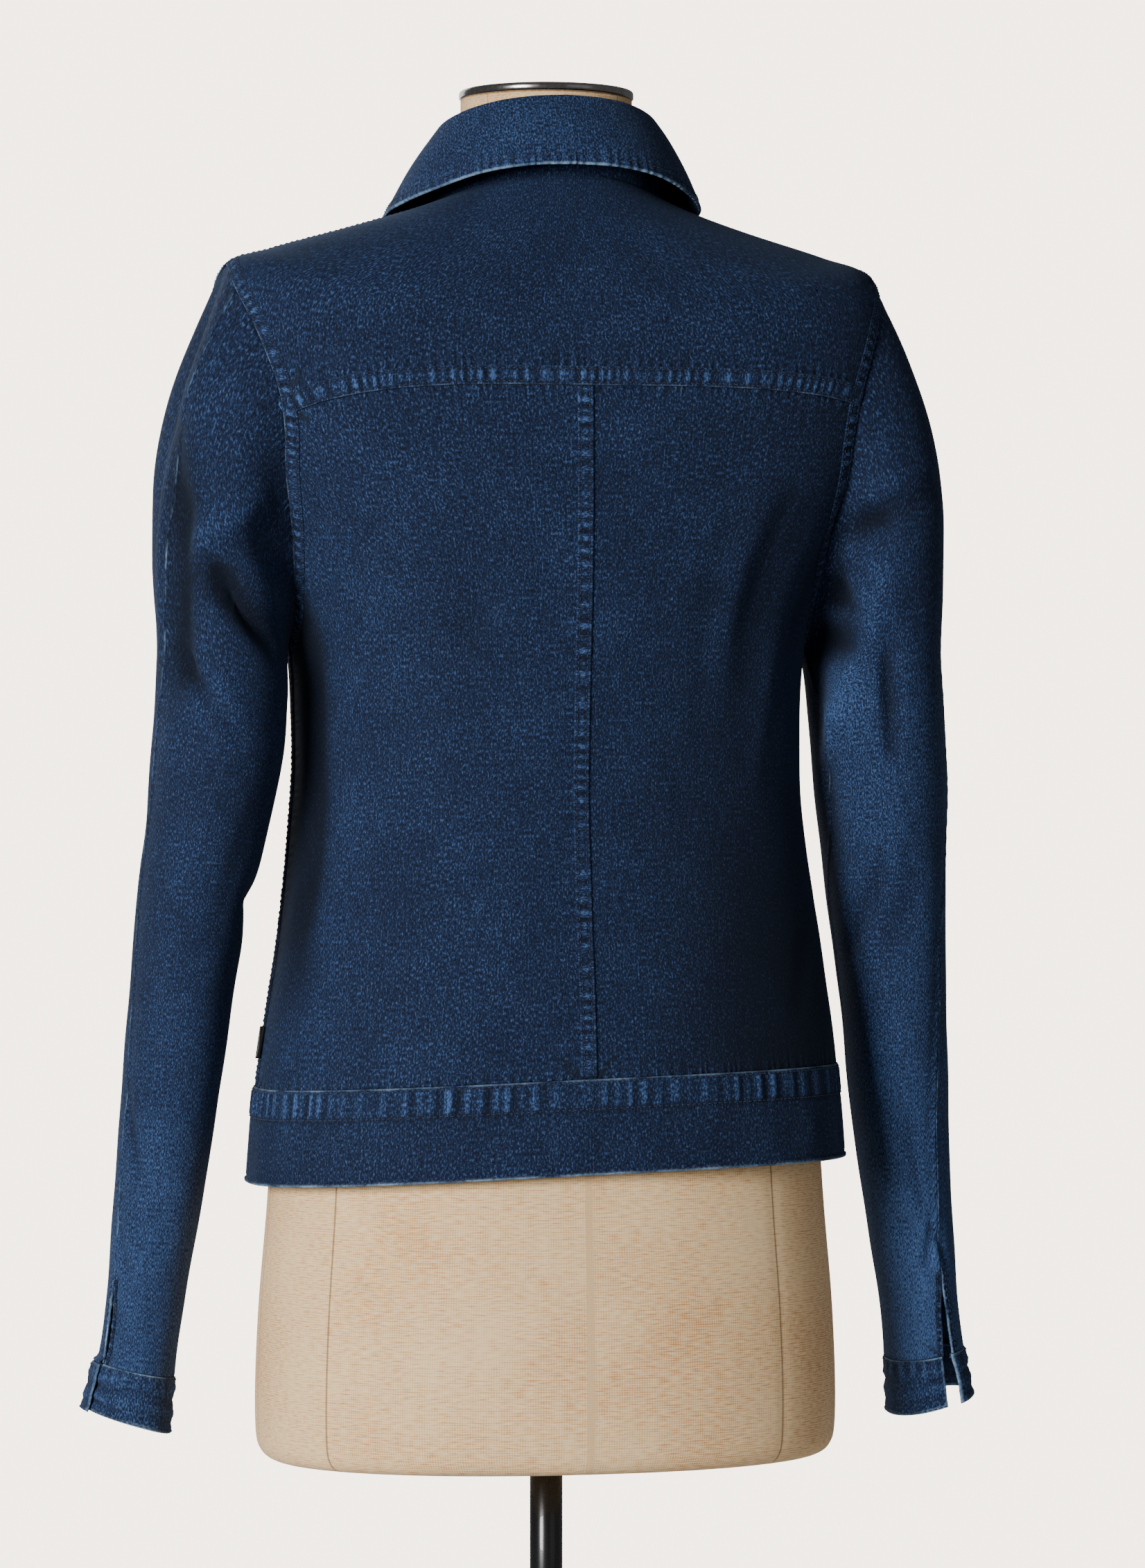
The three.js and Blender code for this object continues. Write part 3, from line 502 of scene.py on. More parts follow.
LEFT_SLEEVE = SleeveSkin(Side.LEFT, (
    (56, 850, 98, 876, 13, 5), (62, 836, 92, 818, 11, -8.5), (92, 818, 124, 799, 10, -6.5),
    (22, 914, 42, 856, 13, -5.5), (28, 791, 61, 766, 11, -3.5), (61, 780, 95, 752, 13, 3.5),
    (150, 650, 190, 640, 14, -3.5), (320, 800, 280, 780, 14, -5), (330, 690, 280, 650, 16, -4),
    (300, 560, 260, 590, 14, -3),
    # Narrower creases: the hollow beside the armhole's fold, the fold's beak and the elbow.
    (40, 868, 36, 776, 13, -6.0, 0.3), (6, 905, 8, 790, 9, 1.8), (60, 853, 106, 873, 5.5, 1.6),
    (60, 853, 58, 836, 5.5, 1.4), (98, 842, 128, 822, 9, 2.4), (66, 842, 92, 822, 6, -3.4, 0.3),
    (92, 822, 128, 795, 6, -3.2, 0.3), (30, 792, 60, 770, 6, -2.6, 0.3), (60, 770, 94, 744, 6, -2.3),
    (27, 783, 57, 760, 6, 2.2), (57, 760, 88, 735, 7, 1.6), (120, 700, 105, 640, 10, -1.5),
    (62, 668, 58, 600, 12, 1.7), (140, 655, 182, 641, 7, -2.2), (18, 538, 50, 492, 6, -1.7),
    (24, 466, 50, 434, 5, -1.5), (32, 464, 58, 434, 5, 1.1), (315, 812, 285, 790, 7, -2.4),
    (325, 690, 290, 655, 8, -2.0), (280, 720, 250, 700, 9, 1.6), (310, 470, 270, 490, 8, -1.6),
))
RIGHT_SLEEVE = SleeveSkin(Side.RIGHT, (
    (50, 886, 112, 868, 10, -2.6), (106, 869, 146, 855, 9, -5.5), (142, 856, 136, 818, 11, -8),
    (160, 868, 154, 812, 17, -4.5), (112, 850, 104, 812, 13, 5), (102, 802, 101, 742, 7, -3.2),
    (168, 803, 124, 795, 10, -6), (172, 790, 166, 690, 12, -3), (168, 819, 120, 811, 4.5, 2.4),
    (118, 800, 165, 738, 13, 3.5), (95, 665, 118, 620, 14, -2.5), (318, 805, 275, 782, 14, -5),
    (335, 680, 275, 655, 16, -3.5), (250, 560, 290, 600, 14, -3),
    # Narrower creases: the pull from the armhole, the hollow's edge, the elbow and the wrist.
    (84, 878, 138, 858, 6, -2.4, 0.3), (50, 898, 128, 873, 7, 2.0), (128, 857, 138, 843, 6, 2.4),
    (137, 843, 121, 824, 6, 2.8), (121, 824, 106, 800, 6, 2.6), (103, 800, 103, 735, 5, -2.4, 0.3),
    (116, 805, 136, 771, 6, 2.2), (136, 771, 170, 731, 7, 1.8), (113, 673, 157, 623, 8, -2.4),
    (100, 690, 112, 640, 9, 1.4), (84, 458, 101, 436, 5, -1.8), (84, 458, 63, 436, 5, -1.8),
    (83, 450, 83, 430, 5, 1.3), (108, 520, 96, 468, 7, -1.4), (310, 808, 282, 788, 7, -2.3),
    (330, 676, 285, 652, 8, -2.0), (262, 700, 240, 668, 9, 1.7), (300, 480, 262, 462, 8, -1.6),
))


# Meshes from arrays.


def grid_quads(rows: int, columns: int, start: int = 0) -> Array:
    """The corners of every cell of a grid whose points are stored row by row."""
    i = start + np.arange(rows - 1)[:, None] * columns + np.arange(columns - 1)[None]
    return np.stack([i, i + 1, i + 1 + columns, i + columns], -1).reshape(-1, 4)


def shell_faces(rows: int, columns: int) -> list[Array]:
    """Faces of a closed shell of two like grids, stored one after the other: both sides and the rim."""
    n = rows * columns
    ids = np.arange(n).reshape(rows, columns)
    loop = np.concatenate([ids[0, :-1], ids[:-1, -1], ids[-1, :0:-1], ids[:0:-1, 0]])
    after = np.roll(loop, -1)
    rim = np.stack([loop, loop + n, after + n, after], -1)
    return [grid_quads(rows, columns), grid_quads(rows, columns, n)[:, ::-1], rim]


def round_faces(rings: int, sides: int) -> list[Array]:
    """Faces of rings of points one above the other, closed by two poles that are stored after them."""
    ids = np.arange(rings * sides).reshape(rings, sides)
    after = np.roll(ids, -1, axis=1)
    walls = np.stack([ids[:-1], after[:-1], after[1:], ids[1:]], -1).reshape(-1, 4)
    low, high = np.full(sides, ids.size), np.full(sides, ids.size + 1)
    caps = np.concatenate([np.stack([low, after[0], ids[0]], -1), np.stack([high, ids[-1], after[-1]], -1)])
    return [walls, caps]


def signed_volume(points: Array, faces: Sequence[Array]) -> float:
    """Six times the volume that the faces enclose, below zero when they point inwards."""
    total = 0.0
    for group in faces:
        for k in range(1, group.shape[1] - 1):
            a, b, c = (points[group[:, j]] for j in (0, k, k + 1))
            total += float(np.einsum("ij,ij->", a, np.cross(b, c)))
    return total


def make_piece(
    name: str,
    points: Array,
    faces: Sequence[Array],
    material: bpy.types.Material,
    uv: Optional[Array] = None,
    layers: Optional[dict] = None,
) -> bpy.types.Object:
    """Make one closed mesh object at the origin that rides on the part's body.

    Args:
        name: the piece's name.
        points: its points in mm.
        faces: groups of faces, each an array with one face a row.
        material: its finish.
        uv: a place on the flat cloth in mm for each point.
        layers: further numbers for each point, by name.

    Returns:
        The object.
    """
    if signed_volume(points - points.mean(0), faces) < 0:
        faces = [group[:, ::-1] for group in faces]
    mesh = bpy.data.meshes.new(name)
    corners = np.concatenate([group.ravel() for group in faces]).astype(np.int32)
    sizes = np.concatenate([np.full(len(group), group.shape[1]) for group in faces])
    mesh.vertices.add(len(points))
    mesh.vertices.foreach_set("co", (points * MM).astype(np.float32).ravel())
    mesh.loops.add(len(corners))
    mesh.loops.foreach_set("vertex_index", corners)
    mesh.polygons.add(len(sizes))
    mesh.polygons.foreach_set("loop_start", np.concatenate([[0], np.cumsum(sizes)[:-1]]).astype(np.int32))
    mesh.polygons.foreach_set("use_smooth", np.ones(len(sizes), bool))
    if uv is not None:
        layer = mesh.uv_layers.new(name="Cloth")
        layer.data.foreach_set("uv", (uv[corners] * MM).astype(np.float32).ravel())
    for key, values in (layers or {}).items():
        numbers = mesh.attributes.new(key, "FLOAT", "POINT")
        numbers.data.foreach_set("value", values.astype(np.float32).ravel())
    mesh.update(calc_edges=True)
    mesh.validate()
    mesh.materials.append(material)
    made = bpy.data.objects.new(name, mesh)
    bpy.context.scene.collection.objects.link(made)
    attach(made, "root")
    log.info("%s: %d points", name, len(points))
    return made


def flat_places(points: Array, origin: tuple[float, float] = (0.0, 0.0)) -> Array:
    """Places on the flat cloth: the distances run along the grid's rows and up its columns, in mm."""
    u = np.zeros(points.shape[:2])
    v = np.zeros(points.shape[:2])
    u[:, 1:] = np.cumsum(np.linalg.norm(np.diff(points, axis=1), axis=-1), axis=1)
    v[1:] = np.cumsum(np.linalg.norm(np.diff(points, axis=0), axis=-1), axis=0)
    u -= u[:, u.shape[1] // 2][:, None]
    return np.stack([u + origin[0], v + origin[1]], -1)


def spans(points: Array) -> tuple[Array, Array, Array, Array]:
    """Places across and up the flat cloth in mm, and the distances from its two side edges."""
    u, v = np.moveaxis(flat_places(points), -1, 0)
    return u, v, np.abs(u - u[:, :1]), np.abs(u - u[:, -1:])


def make_shell(
    name: str, outer: Array, inner: Array, uv: Array, layers: dict, material: bpy.types.Material
) -> bpy.types.Object:
    """Close two grids of points to one piece whose two sides carry the same places and numbers."""
    both = {key: np.tile(value.ravel(), 2) for key, value in layers.items()}
    points = np.concatenate([outer.reshape(-1, 3), inner.reshape(-1, 3)])
    faces = shell_faces(*outer.shape[:2])
    return make_piece(name, points, faces, material, np.tile(uv.reshape(-1, 2), (2, 1)), both)


@dataclass
class Cloth:
    """A piece of cloth as a closed shell over a grid of points.

    outer and inner are its two faces' heights over the points in mm, and lift is added to both. height
    is the folds' tone: painted shade in hollows, and lighter crests, partly wear and partly painted light.
    origin or flat place it on the flat cloth, so far from the other pieces that no two show the same
    flecks. pull and along gather it at seams, and wear bares its edges.
    """

    points: Array
    normals: Array
    height: Array
    outer: float = 0.0
    inner: float = -1.4
    origin: tuple[float, float] = (0.0, 0.0)
    lift: Array = field(default_factory=lambda: np.zeros(1))
    flat: Optional[Array] = None
    pull: Optional[Array] = None
    along: Optional[Array] = None
    wear: Optional[Array] = None

    def edge_distance(self) -> Array:
        """How far each point is from the nearest edge of the piece, in mm."""
        _, v, first, last = spans(self.points)
        return np.minimum.reduce([first, last, v - v[:1], v[-1:] - v])

    def build(self, name: str, material: bpy.types.Material) -> bpy.types.Object:
        """Close the shell, with its edges rounded off over the last 0.8 mm, and make the object."""
        near = np.clip(self.edge_distance() / 0.8, 0, 1)
        swell = np.maximum(np.sqrt(1 - (1 - near) ** 2), 0.3)
        middle, half = (self.outer + self.inner) / 2, (self.outer - self.inner) / 2
        outer, inner = (
            self.points + self.normals * (middle + sign * half * swell + self.lift)[..., None]
            for sign in (1, -1)
        )
        uv = flat_places(self.points, self.origin) if self.flat is None else self.flat
        zero = np.zeros(self.points.shape[:2])
        layers = {
            # The folds' tone, with its painted light and shade, goes to the material.
            "fade": np.clip(self.height / 5, -1.5, 1.5),
            "pull": zero if self.pull is None else self.pull,
            "along": zero if self.along is None else self.along * MM,
            "wear": zero if self.wear is None else self.wear,
        }
        return make_shell(name, outer, inner, uv, layers, material)


def seam_pull(seams: Sequence[tuple[Array, Array, float]], reach: float = 4.0) -> tuple[Array, Array]:
    """How strongly the nearest seams gather the cloth, and the distance along the strongest of them.

    Args:
        seams: for each seam the distance from it, the distance along it and its strength.
        reach: how many mm away the pull has fallen to 1/e.

    Returns:
        The pull, and the distance along in mm, which starts 500 mm on for each further seam.
    """
    pulls = np.stack([strength * np.exp(-np.maximum(d, 0) / reach) for d, _, strength in seams])
    best = pulls.argmax(0)
    along = np.stack([np.broadcast_to(a, pulls[0].shape) + 500.0 * k for k, (_, a, _) in enumerate(seams)])
    return pulls.max(0), np.take_along_axis(along, best[None], 0)[0]


@dataclass
class Fell:
    """A felled seam: a narrow folded strip that lies on the cloth, gathered by its rows of stitches.

    Measures are in mm. base is the height of its underside, lump a thicker place at a share lump_at of
    its length, lip a ridge along its first edge, and pale the wear of its first and second edge.
    """

    skin: Skin
    width: float
    thick: float = 0.9
    gather: float = 0.32
    spacing: float = 5.8
    seed: float = 1.0
    stitch_rows: tuple[float, ...] = (1.6, 7.2)
    base: float = 0.1
    lump: float = 0.0
    lump_at: float = 0.5
    lip: float = 0.0
    pale: tuple[float, float] = (0.3, 0.12)

    def build(
        self, name: str, a: Array, v: Array, material: bpy.types.Material, origin: tuple[float, float]
    ) -> tuple[bpy.types.Object, list[tuple[Array, Array]]]:
        """Lay the strip to the left of a path.

        Across the strip the height is a rounded edge, full between its edges and sunk by a bell 0.8 mm
        wide under each row of stitches; along it the uneven waves of pucker() are added.

        Args:
            name: the piece's name.
            a: the path's angles on the skin.
            v: the path's rows.
            material: the cloth.
            origin: where its flat place starts.

        Returns:
            The object, and the points and directions of each stitched line.
        """
        edge = [0, 0.3, 0.8, 1.5]
        inner = np.linspace(2.3, self.width - 2.3, max(2, round((self.width - 4.6) / 1.1)))
        across = np.unique(np.concatenate([edge, inner, [self.width - e for e in edge], self.stitch_rows]))
        angles, rows = self.skin.band(a, v, across)
        p, n, height = self.skin.place(angles, rows)
        gone = np.concatenate([[0], np.cumsum(np.linalg.norm(np.diff(p[len(across) // 2], axis=0), axis=1))])
        from_edge = np.minimum(across, self.width - across)[:, None]
        rim = np.sqrt(1 - (1 - np.clip(from_edge / 1.1, 0, 1)) ** 2)
        sunk = sum(bell(across, s, 0.8) for s in self.stitch_rows)[:, None]
        near, far = gone[None] + 0.08 * across[:, None], gone[None] - 0.1 * across[:, None]
        wave = pucker(near, self.spacing, self.seed)
        wave = 0.75 * wave + 0.45 * pucker(far, 1.9 * self.spacing, self.seed + 4)
        full = np.sin(np.pi * across / self.width)[:, None] ** 0.6
        lump = self.lump * bell(gone, self.lump_at * gone[-1], 9.0)
        lip = self.lip * bell(across, 0.9, 0.7)[:, None]
        top = self.base + rim * (self.thick + self.gather * wave * full + lump[None] + lip) - 0.34 * sunk
        outer = p + n * np.maximum(top, self.base + 0.08)[..., None]
        inner_side = p + n * (self.base - 0.05)
        uneven = 0.6 + 0.4 * np.sin(gone / 11.0 + self.seed) * np.sin(gone / 4.3 + 2 * self.seed)
        edge_pale = np.where(across < self.width / 2, *self.pale)[:, None]
        # Its tone: puckers lighter on their crests, partly wear and partly painted light, and darker in their
        # troughs as painted shade; painted shade in the groove under each row of stitches; and the whole
        # strip a little lighter.
        layers = {
            "fade": np.clip(height / 5 + 1.7 * wave * full * rim - 0.8 * sunk + 0.25, -1.5, 1.5),
            "pull": np.zeros(outer.shape[:2]),
            "along": np.zeros(outer.shape[:2]),
            "wear": bell(from_edge, 0, 0.75) * uneven[None] * edge_pale,
        }
        made = make_shell(name, outer, inner_side, flat_places(p, origin), layers, material)
        lines = [(outer[j] + n[j] * 0.05, n[j]) for j in np.searchsorted(across, self.stitch_rows)]
        return made, lines


def stitch_thread(
    name: str,
    lines: Sequence[tuple[Array, Array]],
    material: bpy.types.Material,
    pitch: float = 3.3,
    radius: float = 0.3,
) -> bpy.types.Object:
    """One mesh of lockstitches along several lines.

    Each stitch is a thread of four rings with five sides, three quarters of the pitch long. Its two
    middle rings lie 0.22 mm over the cloth and its thinner end rings dip 0.25 mm under it.

    Args:
        name: the piece's name.
        lines: for each line its points and the directions out of the cloth.
        material: the thread.
        pitch: distance from one stitch to the next in mm.
        radius: half the thread's thickness in mm.

    Returns:
        The object.
    """
    along = np.array([0.0, 0.28, 0.62, 0.9]) * 0.86
    rise = np.array([-0.25, 0.22, 0.22, -0.25])
    sides = 5
    turn = 2 * np.pi * np.arange(sides) / sides
    verts, faces, ends, start = [], [], [], 0
    for p, n in lines:
        gone = np.concatenate([[0], np.cumsum(np.linalg.norm(np.diff(p, axis=0), axis=1))])
        count = int(gone[-1] // pitch)
        if count < 1:
            continue
        at = (np.arange(count)[:, None] + along[None]) * pitch + 0.2
        centre = np.stack([np.interp(at, gone, p[:, k]) for k in range(3)], -1)
        up = unit(np.stack([np.interp(at, gone, n[:, k]) for k in range(3)], -1))
        ahead = unit(centre[:, -1:] - centre[:, :1]) * np.ones((1, len(along), 1))
        across = unit(np.cross(up, ahead))
        centre = centre + up * rise[None, :, None]
        thick = radius * np.array([0.7, 1.0, 1.0, 0.7])[None, :, None, None]
        tube = centre[:, :, None] + thick * (
            np.cos(turn)[None, None, :, None] * across[:, :, None]
            + np.sin(turn)[None, None, :, None] * up[:, :, None]
        )
        verts.append(tube.reshape(-1, 3))
        rings = len(along)
        base = start + np.arange(count)[:, None, None] * rings * sides
        ring_at = base + np.arange(rings - 1)[None, :, None] * sides
        k, k1 = np.arange(sides)[None, None], (np.arange(sides)[None, None] + 1) % sides
        walls = np.stack([ring_at + k, ring_at + k1, ring_at + k1 + sides, ring_at + k + sides], -1)
        faces.append(walls.reshape(-1, 4))
        first = (base[:, 0] + np.arange(sides)[None])[:, ::-1]
        ends += [first, base[:, 0] + (rings - 1) * sides + np.arange(sides)[None]]
        start += count * rings * sides
    return make_piece(name, np.concatenate(verts), [np.concatenate(faces), np.concatenate(ends)], material)


def turned(
    name: str, profile: Sequence[tuple[float, float]], centre: Array, axis: Array, sides: int,
    material: bpy.types.Material,
) -> bpy.types.Object:
    """A turned solid: a profile of (radius, height) from the axis back to the axis, carried round it.

    Args:
        name: the piece's name.
        profile: radii and heights in mm, the first and last on the axis.
        centre: the foot of the axis.
        axis: the way the heights run.
        sides: how many steps there are round it.
        material: its finish.

    Returns:
        The object.
    """
    z = unit(np.asarray(axis, float))
    x = unit(np.cross([1.0, 0, 0] if abs(z[2]) > 0.9 else [0, 0, 1.0], z))
    y = np.cross(z, x)
    radius, height = np.array(profile[1:-1], float).T
    turn = 2 * np.pi * np.arange(sides) / sides
    ring_points = (
        np.asarray(centre, float)
        + height[:, None, None] * z
        + radius[:, None, None] * (np.cos(turn)[None, :, None] * x + np.sin(turn)[None, :, None] * y)
    ).reshape(-1, 3)
    poles = np.array([np.asarray(centre) + profile[0][1] * z, np.asarray(centre) + profile[-1][1] * z])
    faces = round_faces(len(radius), sides)
    return make_piece(name, np.concatenate([ring_points, poles]), faces, material)


# Finishes.

# Textures are laid out in metres; this scale turns them to millimetres.
PER_MM = (1000.0, 1000.0, 1)
# A wave texture at scale one repeats every 0.314 units.
WAVE_BAND = 0.314


def srgb(code: str) -> tuple[float, float, float, float]:
    """An sRGB hex colour as linear red, green and blue with full alpha."""
    parts = [int(code[i : i + 2], 16) / 255 for i in (1, 3, 5)]
    linear = [c / 12.92 if c <= 0.04045 else ((c + 0.055) / 1.055) ** 2.4 for c in parts]
    return (*linear, 1.0)


def fill_inputs(tree: bpy.types.NodeTree, node: bpy.types.Node, inputs: dict) -> None:
    """Link each input that is given a socket, and set each of the others to its value."""
    for key, value in inputs.items():
        if isinstance(value, bpy.types.NodeSocket):
            tree.links.new(value, node.inputs[key])
        else:
            node.inputs[key].default_value = value


def add_node(tree: bpy.types.NodeTree, kind: str, inputs: Optional[dict] = None, **settings):
    """Add a node, set its properties and fill its inputs.

    Args:
        tree: the node tree.
        kind: the node's type.
        inputs: for each socket's name or number a value, or a socket to link from.
        settings: the node's own properties.

    Returns:
        The node.
    """
    made = tree.nodes.new(kind)
    for key, value in settings.items():
        setattr(made, key, value)
    fill_inputs(tree, made, inputs or {})
    return made


def new_finish(name: str) -> tuple[bpy.types.Material, bpy.types.NodeTree, bpy.types.Node]:
    """A material with a Principled shader at its output: the material, its tree and the shader."""
    made = bpy.data.materials.new(name)
    made.use_nodes = True
    tree = made.node_tree
    tree.nodes.clear()
    shader = add_node(tree, "ShaderNodeBsdfPrincipled")
    add_node(tree, "ShaderNodeOutputMaterial", {"Surface": shader.outputs[0]})
    return made, tree, shader


@dataclass(frozen=True)
class Denim:
    """Indigo cotton twill, washed: matt, a little furry, streaked along the warp, pale on worn edges."""

    # From the painted shade of the hollows to the bared white of the weft on edges; the wash gives the eye
    # its flecks.
    name: str = "indigo_denim"
    # The colour that the hollows sink to, as painted shade.
    hollow_shade: str = "#060a14"
    dark: str = "#0b1224"
    body: str = "#192642"
    light: str = "#476596"
    worn: str = "#86a5c4"
    # The real yarns are 0.5 mm apart; the flecks are drawn 0.8 mm wide so that they show.
    fleck_across_mm: float = 0.8
    fleck_along_mm: float = 1.9
    streak_across_mm: float = 1.3
    streak_along_mm: float = 16.0
    wash_mm: float = 45.0
    pucker_mm: float = 6.2
    # The real twill line is 0.6 mm wide; it is drawn at 1.3 mm so that it shows.
    twill_mm: float = 1.3
    twill_angle: float = 63.0
    weave_relief_mm: float = 0.12
    gather_relief_mm: float = 0.8
    sheen: str = "#8fa6c8"

    def build(self) -> bpy.types.Material:
        """Make the material: flecks, wash, lighter crests and painted shade on folds, gathers at seams in
        relief and in painted light and shade, and wear on edges.
        """
        made, tree, shader = new_finish(self.name)
        place = add_node(tree, "ShaderNodeUVMap", uv_map="Cloth").outputs[0]
        thread = add_node(tree, "ShaderNodeMapping", {
            "Vector": place, "Scale": (1000 / self.fleck_across_mm, 1000 / self.fleck_along_mm, 1),
        })
        flecks = add_node(tree, "ShaderNodeTexNoise", {
            "Vector": thread.outputs[0], "Scale": 1.0, "Detail": 3.0, "Roughness": 0.62,
        })
        streak_place = add_node(tree, "ShaderNodeMapping", {
            "Vector": place, "Scale": (1000 / self.streak_across_mm, 1000 / self.streak_along_mm, 1),
        })
        streaks = add_node(tree, "ShaderNodeTexNoise", {
            "Vector": streak_place.outputs[0], "Scale": 1.0, "Detail": 2.0,
        })
        fleck = add_node(tree, "ShaderNodeMapRange", {
            "Value": flecks.outputs[0], "From Min": 0.38, "From Max": 0.7,
        })
        wash = add_node(tree, "ShaderNodeTexNoise", {
            "Vector": place, "Scale": 1000 / self.wash_mm, "Detail": 4.0, "Roughness": 0.55,
        })
        fade, pull, along, wear = (
            add_node(tree, "ShaderNodeAttribute", attribute_name=name).outputs["Fac"]
            for name in ("fade", "pull", "along", "wear")
        )
        # Waves across the gathers at seams: relief, and in the colour painted light on their crests and
        # painted shade in their troughs.
        drift = add_node(tree, "ShaderNodeTexNoise", {
            "W": along, "Scale": 55.0, "Detail": 1.0,
        }, noise_dimensions="1D")
        phase = add_node(tree, "ShaderNodeMath", {
            0: along, 1: 2000 * math.pi / self.pucker_mm,
        }, operation="MULTIPLY")
        bent = add_node(tree, "ShaderNodeMath", {
            0: drift.outputs[0], 1: 14.0, 2: phase.outputs[0],
        }, operation="MULTIPLY_ADD")
        wave = add_node(tree, "ShaderNodeMath", {0: bent.outputs[0]}, operation="SINE")
        gather = add_node(tree, "ShaderNodeMath", {0: wave.outputs[0], 1: pull}, operation="MULTIPLY")
        # Lightness from 0 to 1: flecks, wash, the folds' lighter crests and the gathers' painted light and
        # shade added together.
        sum1 = add_node(tree, "ShaderNodeMath", {
            0: fleck.outputs[0], 1: 0.85, 2: -0.39,
        }, operation="MULTIPLY_ADD")
        sum1 = add_node(tree, "ShaderNodeMath", {
            0: streaks.outputs[0], 1: 0.5, 2: sum1.outputs[0],
        }, operation="MULTIPLY_ADD")
        sum2 = add_node(tree, "ShaderNodeMath", {
            0: wash.outputs[0], 1: 0.3, 2: sum1.outputs[0],
        }, operation="MULTIPLY_ADD")
        # Crests of folds lighten a little, partly as wear and partly as painted light.
        crest = add_node(tree, "ShaderNodeMapRange", {
            "Value": fade, "From Min": 0.0, "From Max": 1.5, "To Max": 0.5,
        })
        sum3 = add_node(tree, "ShaderNodeMath", {0: crest.outputs[0], 1: sum2.outputs[0]}, operation="ADD")
        level = add_node(tree, "ShaderNodeMath", {
            0: gather.outputs[0], 1: 0.22, 2: sum3.outputs[0],
        }, operation="MULTIPLY_ADD")
        ramp = add_node(tree, "ShaderNodeValToRGB", {0: level.outputs[0]})
        stops = ramp.color_ramp.elements
        stops[0].position, stops[0].color = 0.0, srgb(self.dark)
        stops[1].position, stops[1].color = 1.0, srgb(self.light)
        middle = stops.new(0.45)
        middle.color = srgb(self.body)
        spots = add_node(tree, "ShaderNodeTexNoise", {"Vector": place, "Scale": 420.0, "Detail": 3.0})
        worn = add_node(tree, "ShaderNodeMath", {0: wear, 1: spots.outputs[0]}, operation="MULTIPLY")
        worn_share = add_node(tree, "ShaderNodeMapRange", {
            "Value": worn.outputs[0], "From Min": 0.08, "From Max": 0.5, "To Max": 0.85,
        })
        # Painted shade in the hollows: they keep their flecks and only sink towards near-black indigo.
        hollow = add_node(tree, "ShaderNodeMapRange", {
            "Value": fade, "From Min": 0.0, "From Max": -1.5, "To Max": 0.84,
        })
        sunk = add_node(tree, "ShaderNodeMix", {
            "Factor": hollow.outputs[0], 6: ramp.outputs[0], 7: srgb(self.hollow_shade),
        }, data_type="RGBA")
        colour = add_node(tree, "ShaderNodeMix", {
            "Factor": worn_share.outputs[0], 6: sunk.outputs[2], 7: srgb(self.worn),
        }, data_type="RGBA")
        twill_place = add_node(tree, "ShaderNodeMapping", {
            "Vector": place, "Rotation": (0, 0, math.radians(self.twill_angle)), "Scale": PER_MM,
        })
        twill = add_node(tree, "ShaderNodeTexWave", {
            "Vector": twill_place.outputs[0], "Scale": WAVE_BAND / self.twill_mm, "Distortion": 1.2,
            "Detail": 2.0, "Detail Scale": 1.5,
        })
        weave = add_node(tree, "ShaderNodeMath", {
            0: fleck.outputs[0], 1: 0.8, 2: twill.outputs[1],
        }, operation="MULTIPLY_ADD")
        fine = add_node(tree, "ShaderNodeBump", {
            "Height": weave.outputs[0], "Distance": self.weave_relief_mm * MM, "Strength": 0.55,
        })
        coarse = add_node(tree, "ShaderNodeBump", {
            "Height": gather.outputs[0], "Distance": self.gather_relief_mm * MM, "Strength": 1.0,
            "Normal": fine.outputs[0],
        })
        fill_inputs(tree, shader, {
            "Base Color": colour.outputs[2], "Normal": coarse.outputs[0], "Roughness": 0.88,
            "Specular IOR Level": 0.18, "Sheen Weight": 0.12, "Sheen Roughness": 0.5,
            "Sheen Tint": srgb(self.sheen),
        })
        return made


@dataclass(frozen=True)
class PlainFinish:
    """A finish of one colour with a fine grain in its colour, roughness and relief."""

    name: str
    colour: str
    second: str
    roughness: float
    metallic: float = 0.0
    grain_mm: float = 1.0
    stretch: tuple[float, float, float] = (1.0, 1.0, 1.0)
    relief_mm: float = 0.05
    specular: float = 0.5
    coat: float = 0.0
    sheen: float = 0.0
    uneven: float = 0.08

    def build(self) -> bpy.types.Material:
        """Make the material from Object coordinates."""
        made, tree, shader = new_finish(self.name)
        place = add_node(tree, "ShaderNodeTexCoord")
        sized = add_node(tree, "ShaderNodeMapping", {
            "Vector": place.outputs["Object"],
            "Scale": tuple(1000 / self.grain_mm * s for s in self.stretch),
        })
        grain = add_node(tree, "ShaderNodeTexNoise", {
            "Vector": sized.outputs[0], "Scale": 1.0, "Detail": 4.0, "Roughness": 0.6,
        })
        tone = add_node(tree, "ShaderNodeMapRange", {
            "Value": grain.outputs[0], "From Min": 0.3, "From Max": 0.7,
        })
        colour = add_node(tree, "ShaderNodeMix", {
            "Factor": tone.outputs[0], 6: srgb(self.colour), 7: srgb(self.second),
        }, data_type="RGBA")
        rough = add_node(tree, "ShaderNodeMapRange", {
            "Value": grain.outputs[0], "To Min": max(self.roughness - self.uneven, 0.02),
            "To Max": self.roughness + self.uneven,
        })
        bump = add_node(tree, "ShaderNodeBump", {
            "Height": grain.outputs[0], "Distance": self.relief_mm * MM, "Strength": 0.6,
        })
        fill_inputs(tree, shader, {
            "Base Color": colour.outputs[2], "Roughness": rough.outputs[0], "Normal": bump.outputs[0],
            "Metallic": self.metallic, "Specular IOR Level": self.specular, "Coat Weight": self.coat,
            "Sheen Weight": self.sheen,
        })
        return made


